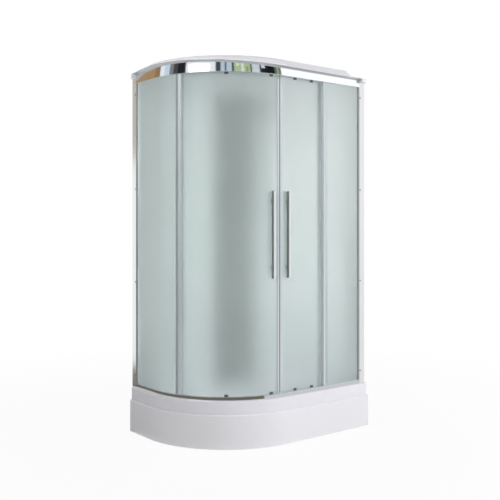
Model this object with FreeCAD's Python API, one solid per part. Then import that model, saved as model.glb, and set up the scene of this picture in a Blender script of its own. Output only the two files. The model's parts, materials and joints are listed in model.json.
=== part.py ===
import FreeCAD, Part
import math
import os

# Shower cabin with a bent front: deep tray, frosted glass, two sliding doors, two closed walls and a roof.
# Frame: +Z up, origin on the floor under the middle of the tray. The doors face -Y, the bend is at the
# front left corner, and the closed walls stand at +Y and +X. All lengths are in millimetres.

# Overall
length = 1200.0
depth = 800.0
height = 2150.0
bend_radius = 550.0
overrun = 5.0
touch_gap = 0.2
run_gap = 0.3
bearing_gap = 0.05

# Small round pieces have flat sides: pins and holes, turned pieces, nuts and bolt heads
pin_sides = 8
turned_sides = 18
hex_sides = 6
edge_share = 0.293

# Tray: thin acrylic shell with a raised rim and a bowl
rim_height = 262.0
rim_band = 72.0
rim_inset = 10.0
rim_round = 7.0
tray_shell = 5.0
tray_corner = 12.0
bowl_floor = 70.0
bowl_front_ledge = 96.0
bowl_wall_ledge = 70.0
bowl_slope = 42.0
bowl_corner = 90.0
bowl_foot_edge = 16.0
bowl_lip_edge = 6.0

# Apron: bent skirt under the rim, a little proud of it
apron_foot = 6.0
apron_shell = 4.0
apron_ledge = 14.0
apron_round = 5.0

# Steel frame and feet under the tray
tube_size = 25.0
tube_wall = 2.0
frame_back_y = 190.0
frame_middle_y = -110.0
frame_front_y = -235.0
frame_left_x = -260.0
frame_right_x = 330.0
frame_left_end = -430.0
frame_right_end = 430.0
frame_short_left_end = -330.0
foot_edge = 30.0
foot_pad_radius = 26.0
foot_pad_height = 7.0
foot_cone_height = 8.0
foot_rod_radius = 5.0
foot_rod_reach = 14.0
nut_radius = 9.5
nut_height = 8.0

# Drain in the bowl's floor and the trap below it
drain_x = -40.0
drain_y = 40.0
drain_hole_radius = 45.0
drain_flange_radius = 56.0
drain_flange_height = 3.0
drain_bore_radius = 38.0
drain_seat_radius = 34.0
drain_seat_depth = 5.0
drain_tail = 10.0
strainer_height = 4.0
strainer_slots = 8
strainer_slot_width = 4.0
strainer_slot_in = 12.0
strainer_slot_out = 31.0
trap_radius = 52.0
trap_wall = 3.0
trap_foot = 10.0
trap_pipe_radius = 20.0
trap_pipe_bore = 17.0
trap_pipe_height = 35.0
trap_pipe_reach = 97.0
trap_collar_radius = 25.0
trap_collar_reach = 57.0

# Rails: drawn aluminium sections that follow the bent front
rail_inset = 30.0
rail_wall = 3.0
rail_depth = 26.0
rail_lip = 2.0
top_rail_height = 49.0
channel_drop = 25.0
channel_lip_up = 4.0
channel_lip_down = 6.0
bottom_rail_height = 20.0
bottom_lip_up = 2.5

# Glass
glass = 5.0
glass_gap = 1.0
door_setback = 21.0
door_foot_gap = 4.0
door_head_gap = 7.0
glass_into_rail = 25.0
glass_edge_gap = 2.0

# Door widths, measured along the front from where the doors meet
meet_gap = 0.3
left_door_angle = 71.0
left_fixed_angle = 67.5
right_door_width = 345.0
right_fixed_start = 318.0

# Seals on the glass edges
seal_leg = 1.5
seal_gap = 0.15
seal_grip = 10.0
magnet_nose = 8.7
trailing_nose = 3.0
trailing_fin_reach = 13.0
fixed_nose = 8.0
fixed_fin_reach = 14.5
fin_wall = 1.5
seal_end_gap = 1.0

# Rollers: hangers at the top, guides at the bottom
left_station_angles = (7.2, 37.6)
right_station_places = (111.0, 238.0)
top_wheel_radius = 10.0
bottom_wheel_radius = 7.0
wheel_width = 7.0
wheel_from_glass = 8.0
axle_radius = 3.0
top_nut_radius = 4.5
bottom_nut_radius = 4.0
axle_head = 1.2
axle_hole_gap = 0.3
hanger_width = 22.0
hanger_wall = 3.0
hanger_below_rail = 9.0
hanger_above_axle = 6.0
guide_above_rail = 9.0
guide_below_axle = 4.5
hanger_cap_radius = 11.0
guide_cap_radius = 8.0
cap_height = 6.0
plate_cut = 3.0

# Handles
handle_from_meeting = 53.0
handle_foot = 920.0
handle_length = 487.0
handle_width = 15.0
handle_depth = 24.0
handle_stand_off = 3.0
handle_cut = 2.0
handle_post_radius = 6.0
handle_post_edge = 60.0
handle_bolt_radius = 3.8
handle_hole_gap = 0.3
handle_cap_radius = 10.0
handle_cap_height = 7.0

# Corner posts: drawn aluminium with slots for the glass and the wall panels
post_width = 42.0
post_depth = 40.0
post_end_gap = 2.0
post_wall = 2.5
post_slot = 8.0
post_slot_depth = 14.0
panel_slot_start = 14.5
panel_slot_depth = 18.0
post_leg = 2.5
gasket_face = 13.0
gasket_bead = 3.5
gasket_tongue = 1.4
gasket_into_post = 12.0
post_screw_radius = 4.0
post_screw_height = 2.0
post_screw_edge = 6.0
post_screw_shares = (0.031, 0.339, 0.649, 0.964)

# Wall panels
panel = 5.0
panel_clear = 1.5
panel_top_gap = 2.0

# Shower column on the back wall
column_x = 165.0
column_width = 300.0
column_depth = 45.0
column_head_gap = 72.0
column_shell = 4.0
column_round = 20.0

# Water fittings on the column
inlet_spacing = 150.0
inlet_radius = 10.2
inlet_bore = 7.5
inlet_flange_radius = 16.0
inlet_flange_height = 4.0
inlet_pipe_radius = 9.5
inlet_hole_gap = 0.5
inlet_reach = 21.0
inlet_tail = 20.0
mixer_height = 1150.0
rosette_radius = 36.0
rosette_height = 7.0
mixer_radius = 23.0
mixer_length = 34.0
cap_turn_radius = 22.0
cap_turn_length = 24.0
cap_slot = 8.8
cap_slot_depth = 15.0
lever_wall = 8.0
lever_eye_radius = 6.0
lever_length = 92.0
lever_tip = 5.0
lever_pin_radius = 2.0
lever_pin_depth = 7.0
stem_radius = 8.0
stem_length = 20.0
diverter_height = 1010.0
diverter_radius = 19.0
diverter_length = 24.0
diverter_edge = 3.0
diverter_stem_radius = 5.0
diverter_stem_length = 14.0
outlet_height = 880.0
outlet_flange_radius = 24.0
outlet_flange_height = 6.0
outlet_neck_radius = 13.0
outlet_neck_length = 12.0
outlet_thread_length = 13.0
outlet_bore = 6.0
shelf_height = 1380.0
shelf_width = 250.0
shelf_depth = 105.0
shelf_wall = 6.0
shelf_rail = 16.0
shelf_corner = 30.0
arm_below_top = 45.0
arm_reach = 250.0
arm_bend = 40.0
arm_width = 20.0
arm_wall = 16.0
arm_drop = 55.0
arm_flange_radius = 27.0
arm_flange_height = 7.0
rose_radius = 100.0
rose_rim = 6.0
rose_crown = 12.0
rose_neck_radius = 18.0
rose_neck_height = 16.0
rose_socket = 12.0

# Roof: formed shell with a thin lip, a rounded visor over the bend, a raised field and a lug over each post
roof_rise = 51.0
roof_inset = 5.0
roof_wall_inset = 1.0
roof_shell = 4.0
roof_lip = 3.0
roof_corner = 14.0
roof_ledge = 62.0
roof_wall_ledge = 104.0
roof_lug_drop = 20.0
visor_rise = 39.0
visor_reach = 40.0
visor_reach_shares = (0.0, 0.08, 0.28, 0.58, 1.0)
visor_rise_shares = (0.0, 0.38, 0.68, 0.88, 1.0)
visor_inner = 330.0
visor_overlap = 30.0
field_inset = 28.0
field_end_inset = 88.0
field_slope = 27.0
field_rise = 41.0
field_crown_inset = 95.0
field_cut = 20.0
field_back_shares = (0.95, 0.16, 0.04)
field_end_share = 0.03
field_bend_wall = 6.0

# Worked out from the values above
half_length = length / 2
half_depth = depth / 2
arc_x = bend_radius - half_length
arc_y = bend_radius - half_depth
rail_outer = bend_radius - rail_inset
rail_inner = rail_outer - rail_depth
fixed_outer = rail_outer - rail_wall - glass_gap
fixed_inner = fixed_outer - glass
slot_inner = fixed_inner - glass_gap
leg_inner = slot_inner - rail_wall
door_outer = fixed_inner - door_setback
door_inner = door_outer - glass
apron_top = rim_height - rim_band
top_rail_top = height - roof_rise
top_rail_foot = top_rail_top - top_rail_height
column_top = top_rail_foot - column_head_gap
arm_height = column_top - arm_below_top
channel_floor = top_rail_top - channel_drop
channel_roof = top_rail_top - rail_wall
bottom_rail_top = rim_height + bottom_rail_height
bottom_rail_floor = rim_height + rail_wall
door_foot = rim_height + door_foot_gap
door_head = top_rail_top - door_head_gap
top_axle_height = channel_floor + run_gap + top_wheel_radius
bottom_axle_height = bottom_rail_floor + run_gap + bottom_wheel_radius
wheel_inner = door_outer + wheel_from_glass
wheel_outer = wheel_inner + wheel_width
post_right_x = half_length - post_end_gap - post_width
post_left_y = half_depth - post_end_gap - post_width
panel_plane_x = post_right_x + panel_slot_start + panel_clear
panel_plane_y = post_left_y + panel_slot_start + panel_clear
column_face_y = panel_plane_y - column_depth
bowl_under = bowl_floor - tray_shell
frame_foot = bowl_under - tube_size
handle_back = door_outer + handle_stand_off
handle_front = handle_back + handle_depth
cap_turn_start = rosette_height + mixer_length + run_gap
tiny = 1e-6
up = FreeCAD.Vector(0, 0, 1)
right = FreeCAD.Vector(1, 0, 0)
forward = FreeCAD.Vector(0, 1, 0)
bend_axis = FreeCAD.Vector(arc_x, arc_y, 0)
quarter = 90.0


def point(x, y, z):
    return FreeCAD.Vector(x, y, z)


def level(z):
    """Places outline points on a level plane."""
    return lambda x, y: point(x, y, z)


def across_front(radius, z):
    """Places section points (distance from the bend's axis, height) where the straight front begins."""
    return point(arc_x, arc_y - radius, z)


def rounded_wire(corners, place):
    """Closed wire through (x, y, radius) corners, each rounded by its own radius."""
    spans = []
    for index, (x, y, radius) in enumerate(corners):
        corner = place(x, y)
        if radius < tiny:
            spans.append((corner, corner, corner))
            continue
        last = corners[index - 1]
        following = corners[(index + 1) % len(corners)]
        back = (place(last[0], last[1]) - corner).normalize()
        ahead = (place(following[0], following[1]) - corner).normalize()
        half_angle = back.getAngle(ahead) / 2
        reach = radius / math.tan(half_angle)
        middle = (back + ahead).normalize() * (radius / math.sin(half_angle) - radius)
        spans.append((corner + back * reach, corner + middle, corner + ahead * reach))
    edges = []
    for index, (start, middle, end) in enumerate(spans):
        if start.distanceToPoint(end) > tiny:
            edges.append(Part.Arc(start, middle, end).toShape())
        next_start = spans[(index + 1) % len(spans)][0]
        if end.distanceToPoint(next_start) > tiny:
            edges.append(Part.LineSegment(end, next_start).toShape())
    return Part.Wire(edges)


def sharp(corners):
    """Corners with no rounding."""
    return [(x, y, 0) for x, y in corners]


def plan_wire(front_inset, wall_inset, corner, z):
    """Plan outline of the cabin: the bend is the large rounding of the front left corner."""
    left = -half_length + front_inset
    front = -half_depth + front_inset
    right_side = half_length - wall_inset
    back = half_depth - wall_inset
    bend = min(bend_radius - front_inset, back - front - corner)
    corners = [(left, front, bend), (right_side, front, corner),
               (right_side, back, corner), (left, back, corner)]
    return rounded_wire(corners, level(z))


def prism(wire, rise):
    return Part.Face(wire).extrude(up * rise)


def upright(corners, foot, head):
    """Upright bar with the given plan outline."""
    return prism(rounded_wire(corners, level(foot)), head - foot)


def block(x0, x1, y0, y1, z0, z1):
    return Part.makeBox(x1 - x0, y1 - y0, z1 - z0, point(x0, y0, z0))


def joined(shapes):
    whole = shapes[0].multiFuse(shapes[1:]) if len(shapes) > 1 else shapes[0]
    return whole.removeSplitter()


def along_front(section, start_turn=0.0, end_turn=quarter, right_end=None, left_end=None):
    """Carries a section along the front: straight to right_end, round the bend, straight to left_end."""
    face = Part.Face(rounded_wire(section, across_front))
    runs = []
    if right_end is not None:
        runs.append(face.extrude(right * (right_end - arc_x)))
    bent = face.copy()
    bent.rotate(bend_axis, up, -start_turn)
    runs.append(bent.revolve(bend_axis, up, start_turn - end_turn))
    if left_end is not None:
        side = face.copy()
        side.rotate(bend_axis, up, -quarter)
        runs.append(side.extrude(forward * (left_end - arc_y)))
    return joined(runs)


def band(inner, outer, foot, head):
    """Section of a plain upright pane between two radii."""
    return sharp([(inner, foot), (outer, foot), (outer, head), (inner, head)])


def polygon(radius, sides):
    """Corners of a regular polygon, as (x, y) pairs."""
    turns = [2 * math.pi * k / sides for k in range(sides)]
    return [(radius * math.cos(turn), radius * math.sin(turn)) for turn in turns]


def cut_corners(x0, x1, y0, y1, cut):
    """Rectangle with its corners cut off."""
    return sharp([(x0 + cut, y0), (x1 - cut, y0), (x1, y0 + cut), (x1, y1 - cut),
                  (x1 - cut, y1), (x0 + cut, y1), (x0, y1 - cut), (x0, y0 + cut)])


def bar(radius, reach, base, axis, sides=pin_sides):
    """Straight bar with flat sides; its corners lie on the radius."""
    solid = prism(rounded_wire(sharp(polygon(radius, sides)), level(0)), reach)
    solid.Placement = FreeCAD.Placement(base, FreeCAD.Rotation(up, axis))
    return solid


def hole(radius, reach, base, axis, sides=pin_sides):
    """Cutter with flat sides that clear the radius."""
    return bar(radius / math.cos(math.pi / sides), reach, base, axis, sides)


def spigot(radius, start, end, height, sides=pin_sides):
    """Bar square to the front, between two distances from the bend's axis."""
    return bar(radius, end - start, point(arc_x, arc_y - start, height), -forward, sides)


def on_left_door(shape, turn):
    moved = shape.copy()
    moved.rotate(bend_axis, up, -turn)
    return moved


def on_right_door(shape, place):
    moved = shape.copy()
    moved.translate(right * place)
    return moved


def turned_solid(profile, base, axis, sides=turned_sides):
    """Turned piece with flat facets; profile holds (radius, distance along the axis) points."""
    rings = [[point(x, y, z) for x, y in polygon(radius, sides)] for radius, z in profile]
    faces = []
    for ring, following in zip(rings, rings[1:] + rings[:1]):
        for k in range(sides):
            after = (k + 1) % sides
            corners = [ring[k]]
            for corner in (ring[after], following[after], following[k]):
                if corner.distanceToPoint(corners[-1]) > tiny and corner.distanceToPoint(corners[0]) > tiny:
                    corners.append(corner)
            if len(corners) > 2:
                faces.append(Part.Face(Part.makePolygon(corners + corners[:1])))
    solid = Part.Solid(Part.Shell(faces))
    if solid.Volume < 0:
        solid.reverse()
    solid.Placement = FreeCAD.Placement(base, FreeCAD.Rotation(up, axis))
    return solid.removeSplitter()


def plan_loft(profile, corner):
    """Solid through plan outlines; profile holds (front inset, wall inset, height) from the widest in."""
    start = profile[0][1]
    return Part.makeLoft([plan_wire(front, wall, corner - (wall - start), z) for front, wall, z in profile],
                         True, True)


def save(name, shapes):
    shape = shapes[0] if len(shapes) == 1 else Part.makeCompound(shapes)
    shape.exportStep("parts/" + name + ".step")


def make_tray():
    """Thin shell: a rim with a rounded edge, a bowl with an eased lip and foot, and a drain hole."""
    edge = rim_round * edge_share
    rim = plan_loft([(rim_inset, 0, apron_top), (rim_inset, 0, rim_height - rim_round),
                     (rim_inset + edge, edge, rim_height - edge),
                     (rim_inset + rim_round, rim_round, rim_height)], tray_corner)
    hollow_foot = apron_top - overrun
    hollow = prism(plan_wire(rim_inset + tray_shell, tray_shell, tray_corner - tray_shell, hollow_foot),
                   rim_height - tray_shell - hollow_foot)
    underside = plan_loft(bowl_profile([(-tray_shell, rim_height - tray_shell), (bowl_slope, bowl_under)]),
                          bowl_corner)
    inside = plan_loft(bowl_profile([(-bowl_lip_edge, rim_height), (0, rim_height - bowl_lip_edge),
                                     (bowl_slope, bowl_floor + bowl_foot_edge),
                                     (bowl_slope + bowl_foot_edge, bowl_floor)]), bowl_corner)
    drain = bar(drain_hole_radius, tray_shell + 2 * overrun, point(drain_x, drain_y, bowl_under - overrun),
                up, turned_sides)
    return joined([rim.cut(hollow), underside]).cut(inside).cut(drain)


def bowl_profile(points):
    """Insets from the cabin's outline for (distance inwards from the bowl's lip, height) points."""
    return [(bowl_front_ledge + inset, bowl_wall_ledge + inset, z) for inset, z in points]


def make_apron():
    """Bent skirt with a rounded top edge and a ledge under the tray's rim."""
    inside = bend_radius - apron_shell
    edge = apron_round * edge_share
    section = sharp([
        (bend_radius, apron_foot), (bend_radius, apron_top - apron_round),
        (bend_radius - edge, apron_top - edge), (bend_radius - apron_round, apron_top),
        (bend_radius - apron_ledge, apron_top), (bend_radius - apron_ledge, apron_top - apron_shell),
        (inside, apron_top - apron_shell), (inside, apron_foot),
    ])
    return along_front(section, right_end=half_length, left_end=half_depth)


def frame_tube(x0, x1, y0, y1, inset, end):
    """One square tube; inset makes its bore, which runs past the ends by end."""
    low = point(min(x0, x1) + inset, min(y0, y1) + inset, frame_foot + inset)
    size = point(abs(x1 - x0) - 2 * inset, abs(y1 - y0) - 2 * inset, tube_size - 2 * inset)
    if size.x > size.y:
        low.x = low.x - inset - end
        size.x = size.x + 2 * (inset + end)
    else:
        low.y = low.y - inset - end
        size.y = size.y + 2 * (inset + end)
    return Part.makeBox(size.x, size.y, size.z, low)


def frame_runs():
    half = tube_size / 2
    runs = [(frame_left_end, frame_right_end, frame_back_y - half, frame_back_y + half),
            (frame_short_left_end, frame_right_end, frame_middle_y - half, frame_middle_y + half)]
    for x in (frame_left_x, frame_right_x):
        runs.append((x - half, x + half, frame_middle_y + half, frame_back_y - half))
    runs.append((frame_right_x - half, frame_right_x + half, frame_front_y, frame_middle_y - half))
    runs.append((arc_x - half, arc_x + half, frame_front_y, frame_middle_y - half))
    return runs


def foot_places():
    right_foot = frame_right_end - foot_edge
    return [(frame_left_end + foot_edge, frame_back_y), (right_foot, frame_back_y),
            (frame_short_left_end + foot_edge, frame_middle_y), (right_foot, frame_middle_y),
            (arc_x, frame_front_y + foot_edge), (frame_right_x, frame_front_y + foot_edge)]


def make_frame():
    """Welded frame of square tubes, drilled for the feet."""
    welded = joined([frame_tube(*run, 0, 0) for run in frame_runs()])
    for run in frame_runs():
        welded = welded.cut(frame_tube(*run, tube_wall, 0))
    for x, y in foot_places():
        welded = welded.cut(hole(foot_rod_radius + touch_gap, tube_wall + 2 * overrun,
                                 point(x, y, frame_foot - overrun), up))
    return welded


def make_feet():
    rod_top = frame_foot + foot_rod_reach
    cone_top = foot_pad_height + foot_cone_height
    profile = [(0, 0), (foot_pad_radius, 0), (foot_pad_radius, foot_pad_height), (nut_radius, cone_top),
               (foot_rod_radius, cone_top), (foot_rod_radius, rod_top), (0, rod_top)]
    return [turned_solid(profile, point(x, y, 0), up, pin_sides) for x, y in foot_places()]


def make_lock_nuts():
    nuts = []
    for x, y in foot_places():
        base = point(x, y, frame_foot - nut_height)
        bore = hole(foot_rod_radius + bearing_gap, nut_height, base, up)
        nuts.append(bar(nut_radius, nut_height, base, up, hex_sides).cut(bore))
    return nuts


def make_drain_flange():
    top = bowl_floor + drain_flange_height
    seat = top - drain_seat_depth
    tail_radius = drain_hole_radius - touch_gap
    profile = [(drain_flange_radius, bowl_floor), (drain_flange_radius - drain_flange_height, top),
               (drain_bore_radius, top), (drain_bore_radius, seat), (drain_seat_radius, seat),
               (drain_seat_radius, bowl_under - drain_tail), (tail_radius, bowl_under - drain_tail),
               (tail_radius, bowl_floor)]
    return turned_solid(profile, point(drain_x, drain_y, 0), up)


def make_strainer():
    seat = bowl_floor + drain_flange_height - drain_seat_depth
    disc = bar(drain_bore_radius - touch_gap, strainer_height, point(drain_x, drain_y, seat), up,
               turned_sides)
    half = strainer_slot_width / 2
    for k in range(strainer_slots):
        slot = block(strainer_slot_in, strainer_slot_out, -half, half, seat - overrun,
                     seat + strainer_height + overrun)
        slot.rotate(point(0, 0, 0), up, 4 * quarter * k / strainer_slots)
        slot.translate(point(drain_x, drain_y, 0))
        disc = disc.cut(slot)
    return disc


def make_trap():
    """Round cup under the drain with a collar and a waste pipe towards the back wall."""
    inside = trap_radius - trap_wall
    cup = bar(trap_radius, bowl_under - trap_foot, point(drain_x, drain_y, trap_foot), up, turned_sides)
    hollow = bar(inside, bowl_under - trap_foot, point(drain_x, drain_y, trap_foot + trap_wall), up,
                 turned_sides)
    pipe_base = point(drain_x, drain_y, trap_pipe_height)
    collar = bar(trap_collar_radius, trap_collar_reach, pipe_base, forward, turned_sides)
    pipe = Part.makeCylinder(trap_pipe_radius, trap_pipe_reach, pipe_base, forward)
    bore = hole(trap_pipe_bore, trap_pipe_reach + overrun, pipe_base, forward)
    return joined([cup, collar, pipe]).cut(hollow).cut(bore)


def make_top_rail():
    """Drawn section: tall front, a slot for the fixed glass and a channel for the doors' wheels."""
    lip = rail_inner + rail_lip
    slot_outer = rail_outer - rail_wall
    section = sharp([
        (rail_outer, top_rail_foot), (rail_outer, top_rail_top),
        (rail_inner, top_rail_top), (rail_inner, channel_roof - channel_lip_down),
        (lip, channel_roof - channel_lip_down), (lip, channel_roof),
        (leg_inner, channel_roof), (leg_inner, channel_floor),
        (lip, channel_floor), (lip, channel_floor + channel_lip_up),
        (rail_inner, channel_floor + channel_lip_up), (rail_inner, channel_floor - rail_wall),
        (leg_inner, channel_floor - rail_wall), (leg_inner, top_rail_foot),
        (slot_inner, top_rail_foot), (slot_inner, channel_roof),
        (slot_outer, channel_roof), (slot_outer, top_rail_foot),
    ])
    return along_front(section, right_end=post_right_x, left_end=post_left_y)


def make_bottom_rail():
    """Low drawn section: a slot for the fixed glass and a track with a lip for the lower wheels."""
    lip = rail_inner + rail_lip
    slot_outer = rail_outer - rail_wall
    section = sharp([
        (rail_outer, rim_height), (rail_outer, bottom_rail_top),
        (slot_outer, bottom_rail_top), (slot_outer, bottom_rail_floor),
        (slot_inner, bottom_rail_floor), (slot_inner, bottom_rail_top),
        (leg_inner, bottom_rail_top), (leg_inner, bottom_rail_floor),
        (lip, bottom_rail_floor), (lip, bottom_rail_floor + bottom_lip_up),
        (rail_inner, bottom_rail_floor + bottom_lip_up), (rail_inner, rim_height),
    ])
    return along_front(section, right_end=post_right_x, left_end=post_left_y)


def post_plan():
    """Section of a front post: along the glass from its free edge, then inwards from its front face."""
    slot_end = post_wall + post_slot
    leg_end = slot_end + post_leg
    panel_end = panel_slot_start + post_slot
    panel_floor = post_depth - panel_slot_depth
    leg_side = panel_slot_start - post_leg
    return [(0, 0), (post_width, 0), (post_width, post_depth), (panel_end, post_depth),
            (panel_end, panel_floor), (panel_slot_start, panel_floor), (panel_slot_start, post_depth),
            (leg_side, post_depth), (leg_side, leg_end), (0, leg_end), (0, slot_end),
            (post_slot_depth, slot_end), (post_slot_depth, post_wall), (0, post_wall)]


def post_core():
    """Hollow inside a front post."""
    start = panel_slot_start + post_slot + post_wall
    return [(start, post_wall), (post_width - post_wall, post_wall),
            (post_width - post_wall, post_depth - post_wall), (start, post_depth - post_wall)]


def make_front_posts():
    front_face = arc_y - rail_outer
    left_face = arc_x - rail_outer
    posts = []
    for place in (lambda u, v: (post_right_x + u, front_face + v),
                  lambda u, v: (left_face + v, post_left_y + u)):
        body = upright(sharp([place(u, v) for u, v in post_plan()]), rim_height, top_rail_top)
        core = upright(sharp([place(u, v) for u, v in post_core()]), rim_height, top_rail_top)
        posts.append(body.cut(core))
    return posts


def make_corner_post():
    """Back corner post: a hollow angle with one slot for each closed wall."""
    outer_x = half_length - post_end_gap
    outer_y = half_depth - post_end_gap
    slot_x = panel_plane_x - panel_clear
    slot_y = panel_plane_y - panel_clear
    inner_x = slot_x - post_leg
    inner_y = slot_y - post_leg
    start_x = inner_x - panel_slot_depth
    start_y = inner_y - panel_slot_depth
    angle = [(start_x, inner_y), (inner_x, inner_y), (inner_x, start_y), (outer_x, start_y),
             (outer_x, outer_y), (start_x, outer_y)]
    body = upright(sharp(angle), rim_height, top_rail_top)
    back_slot = block(start_x, start_x + post_slot_depth, slot_y, slot_y + post_slot, rim_height,
                      top_rail_top)
    side_slot = block(slot_x, slot_x + post_slot, start_y, start_y + post_slot_depth, rim_height,
                      top_rail_top)
    core = block(slot_x + post_slot + post_wall, outer_x - post_wall, slot_y + post_slot + post_wall,
                 outer_y - post_wall, rim_height, top_rail_top)
    return body.cut(back_slot).cut(side_slot).cut(core)


def make_fixed_glass():
    foot = bottom_rail_floor + glass_edge_gap
    head = top_rail_foot + glass_into_rail
    section = band(fixed_inner, fixed_outer, foot, head)
    depth_in_post = post_slot_depth - glass_edge_gap
    left = along_front(section, start_turn=left_fixed_angle, left_end=post_left_y + depth_in_post)
    right_pane = block(arc_x + right_fixed_start, post_right_x + depth_in_post, arc_y - fixed_outer,
                       arc_y - fixed_inner, foot, head)
    return left, right_pane


def make_gaskets():
    """Dark strips between the fixed glass and the posts: a bead on the glass and a tongue in the slot."""
    front_face = arc_y - fixed_outer
    left_face = arc_x - fixed_outer
    profile = [(-gasket_face, 0), (gasket_into_post, 0), (gasket_into_post, gasket_tongue),
               (0, gasket_tongue), (0, gasket_bead), (-gasket_face, gasket_bead)]
    right_plan = [(post_right_x + u, front_face - v) for u, v in profile]
    left_plan = [(left_face - v, post_left_y + u) for u, v in profile]
    foot = bottom_rail_top + seal_end_gap
    head = top_rail_foot - seal_end_gap
    return upright(sharp(left_plan), foot, head), upright(sharp(right_plan), foot, head)


def edge_seal(inner, outer, nose, side, foot, head, fin_reach=0.0, fin_out=False):
    """Channel on a glass edge where the straight front begins; side is +1 if the glass lies towards +X."""
    low = inner - seal_gap - seal_leg
    high = outer + seal_gap + seal_leg
    plan = [(-nose, low), (-nose, high), (seal_grip, high), (seal_grip, outer + seal_gap),
            (0, outer + seal_gap), (0, inner - seal_gap), (seal_grip, inner - seal_gap), (seal_grip, low)]
    strip = upright(sharp([(arc_x + side * u, arc_y - r) for u, r in plan]), foot, head)
    if fin_reach:
        start, end = (high, high + fin_reach) if fin_out else (low - fin_reach, low)
        corners = [(-nose, start), (-nose + fin_wall, start), (-nose + fin_wall, end), (-nose, end)]
        fin = upright(sharp([(arc_x + side * u, arc_y - r) for u, r in corners]), foot, head)
        strip = joined([strip, fin])
    return strip


def make_seals():
    """Seals of the fixed glass, then leading and trailing seals of the left and right doors."""
    foot = bottom_rail_top + seal_end_gap
    head = top_rail_foot - seal_end_gap
    seals = {}
    left_edge = edge_seal(fixed_inner, fixed_outer, fixed_nose, -1, foot, head, fixed_fin_reach)
    seals["left_fixed_seal"] = on_left_door(left_edge, left_fixed_angle)
    right_edge = edge_seal(fixed_inner, fixed_outer, fixed_nose, 1, foot, head, fixed_fin_reach)
    seals["right_fixed_seal"] = on_right_door(right_edge, right_fixed_start)
    lead = edge_seal(door_inner, door_outer, magnet_nose, -1, foot, head)
    seals["left_door_magnet_seal"] = on_left_door(lead, door_edge_turn())
    lead = edge_seal(door_inner, door_outer, magnet_nose, 1, foot, head)
    seals["right_door_magnet_seal"] = on_right_door(lead, magnet_nose + meet_gap / 2)
    trail = edge_seal(door_inner, door_outer, trailing_nose, 1, foot, head, trailing_fin_reach, True)
    seals["left_door_edge_seal"] = on_left_door(trail, left_door_angle)
    trail = edge_seal(door_inner, door_outer, trailing_nose, -1, foot, head, trailing_fin_reach, True)
    seals["right_door_edge_seal"] = on_right_door(trail, right_door_width)
    return seals


def door_edge_turn():
    """Turn from the meeting line to the left door's glass edge, which leaves room for its magnet strip."""
    return math.degrees((magnet_nose + meet_gap / 2) / door_outer)


def glass_holes(door_on, stations, handle_place):
    """Cutters for the rollers' bolts and the handle's bolts."""
    through = glass + 2 * overrun
    base = arc_y - door_inner + overrun
    cutters = []
    for place in stations:
        for z in (top_axle_height, bottom_axle_height):
            drilled = hole(axle_radius + axle_hole_gap, through, point(arc_x, base, z), -forward)
            cutters.append(door_on(drilled, place))
    for z in handle_bolt_heights():
        drilled = hole(handle_bolt_radius + handle_hole_gap, through, point(arc_x, base, z), -forward)
        cutters.append(door_on(drilled, handle_place))
    return cutters


def make_door_glass():
    section = band(door_inner, door_outer, door_foot, door_head)
    left = along_front(section, start_turn=door_edge_turn(), end_turn=left_door_angle)
    right_pane = block(arc_x + magnet_nose + meet_gap / 2, arc_x + right_door_width, arc_y - door_outer,
                       arc_y - door_inner, door_foot, door_head)
    for cutter in glass_holes(on_left_door, left_station_angles, left_handle_turn()):
        left = left.cut(cutter)
    for cutter in glass_holes(on_right_door, right_station_places, handle_from_meeting):
        right_pane = right_pane.cut(cutter)
    return left, right_pane


def roller_bracket(axle_height, plate_foot, plate_head, nut, cap_radius):
    """Plate outside the glass on a bolt: cap nut inside, then spacer nut, wheel journal and head."""
    half = hanger_width / 2
    plate_start = door_outer + touch_gap
    plate_end = door_outer + hanger_wall
    outline = cut_corners(arc_x - half, arc_x + half, plate_foot, plate_head, plate_cut)
    wire = rounded_wire(outline, lambda x, z: point(x, arc_y - plate_start, z))
    plate = Part.Face(wire).extrude(-forward * (plate_end - plate_start))
    cap_end = door_inner - touch_gap
    journal_start = wheel_inner - run_gap
    journal_end = wheel_outer + run_gap
    cap = spigot(cap_radius, cap_end - cap_height, cap_end, axle_height, hex_sides)
    bolt = spigot(axle_radius, cap_end, journal_end, axle_height)
    spacer = spigot(nut, plate_end, journal_start, axle_height, hex_sides)
    head = spigot(nut, journal_end, journal_end + axle_head, axle_height, hex_sides)
    return joined([plate, cap, bolt, spacer, head])


def wheel(radius, axle_height):
    """Wheel that runs on the bolt's journal."""
    base = point(arc_x, arc_y - wheel_inner, axle_height)
    bore = hole(axle_radius + bearing_gap, wheel_width, base, -forward)
    return bar(radius, wheel_width, base, -forward, turned_sides).cut(bore)


def make_rollers():
    """Hangers, guides and wheels of both doors, by node name."""
    hanger = roller_bracket(top_axle_height, top_rail_foot - hanger_below_rail,
                            top_axle_height + hanger_above_axle, top_nut_radius, hanger_cap_radius)
    guide = roller_bracket(bottom_axle_height, bottom_axle_height - guide_below_axle,
                           bottom_rail_top + guide_above_rail, bottom_nut_radius, guide_cap_radius)
    top_wheel = wheel(top_wheel_radius, top_axle_height)
    bottom_wheel = wheel(bottom_wheel_radius, bottom_axle_height)
    nodes = {}
    for side, door_on, stations in (("left", on_left_door, left_station_angles),
                                    ("right", on_right_door, right_station_places)):
        nodes[side + "_door_hangers"] = [door_on(hanger, place) for place in stations]
        nodes[side + "_door_guides"] = [door_on(guide, place) for place in stations]
        for order, place in zip(("front", "rear"), stations):
            nodes[side + "_top_wheel_" + order] = [door_on(top_wheel, place)]
            nodes[side + "_bottom_wheel_" + order] = [door_on(bottom_wheel, place)]
    return nodes


def left_handle_turn():
    return math.degrees(handle_from_meeting / door_outer)


def handle_bolt_heights():
    return (handle_foot + handle_post_edge, handle_foot + handle_length - handle_post_edge)


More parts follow.
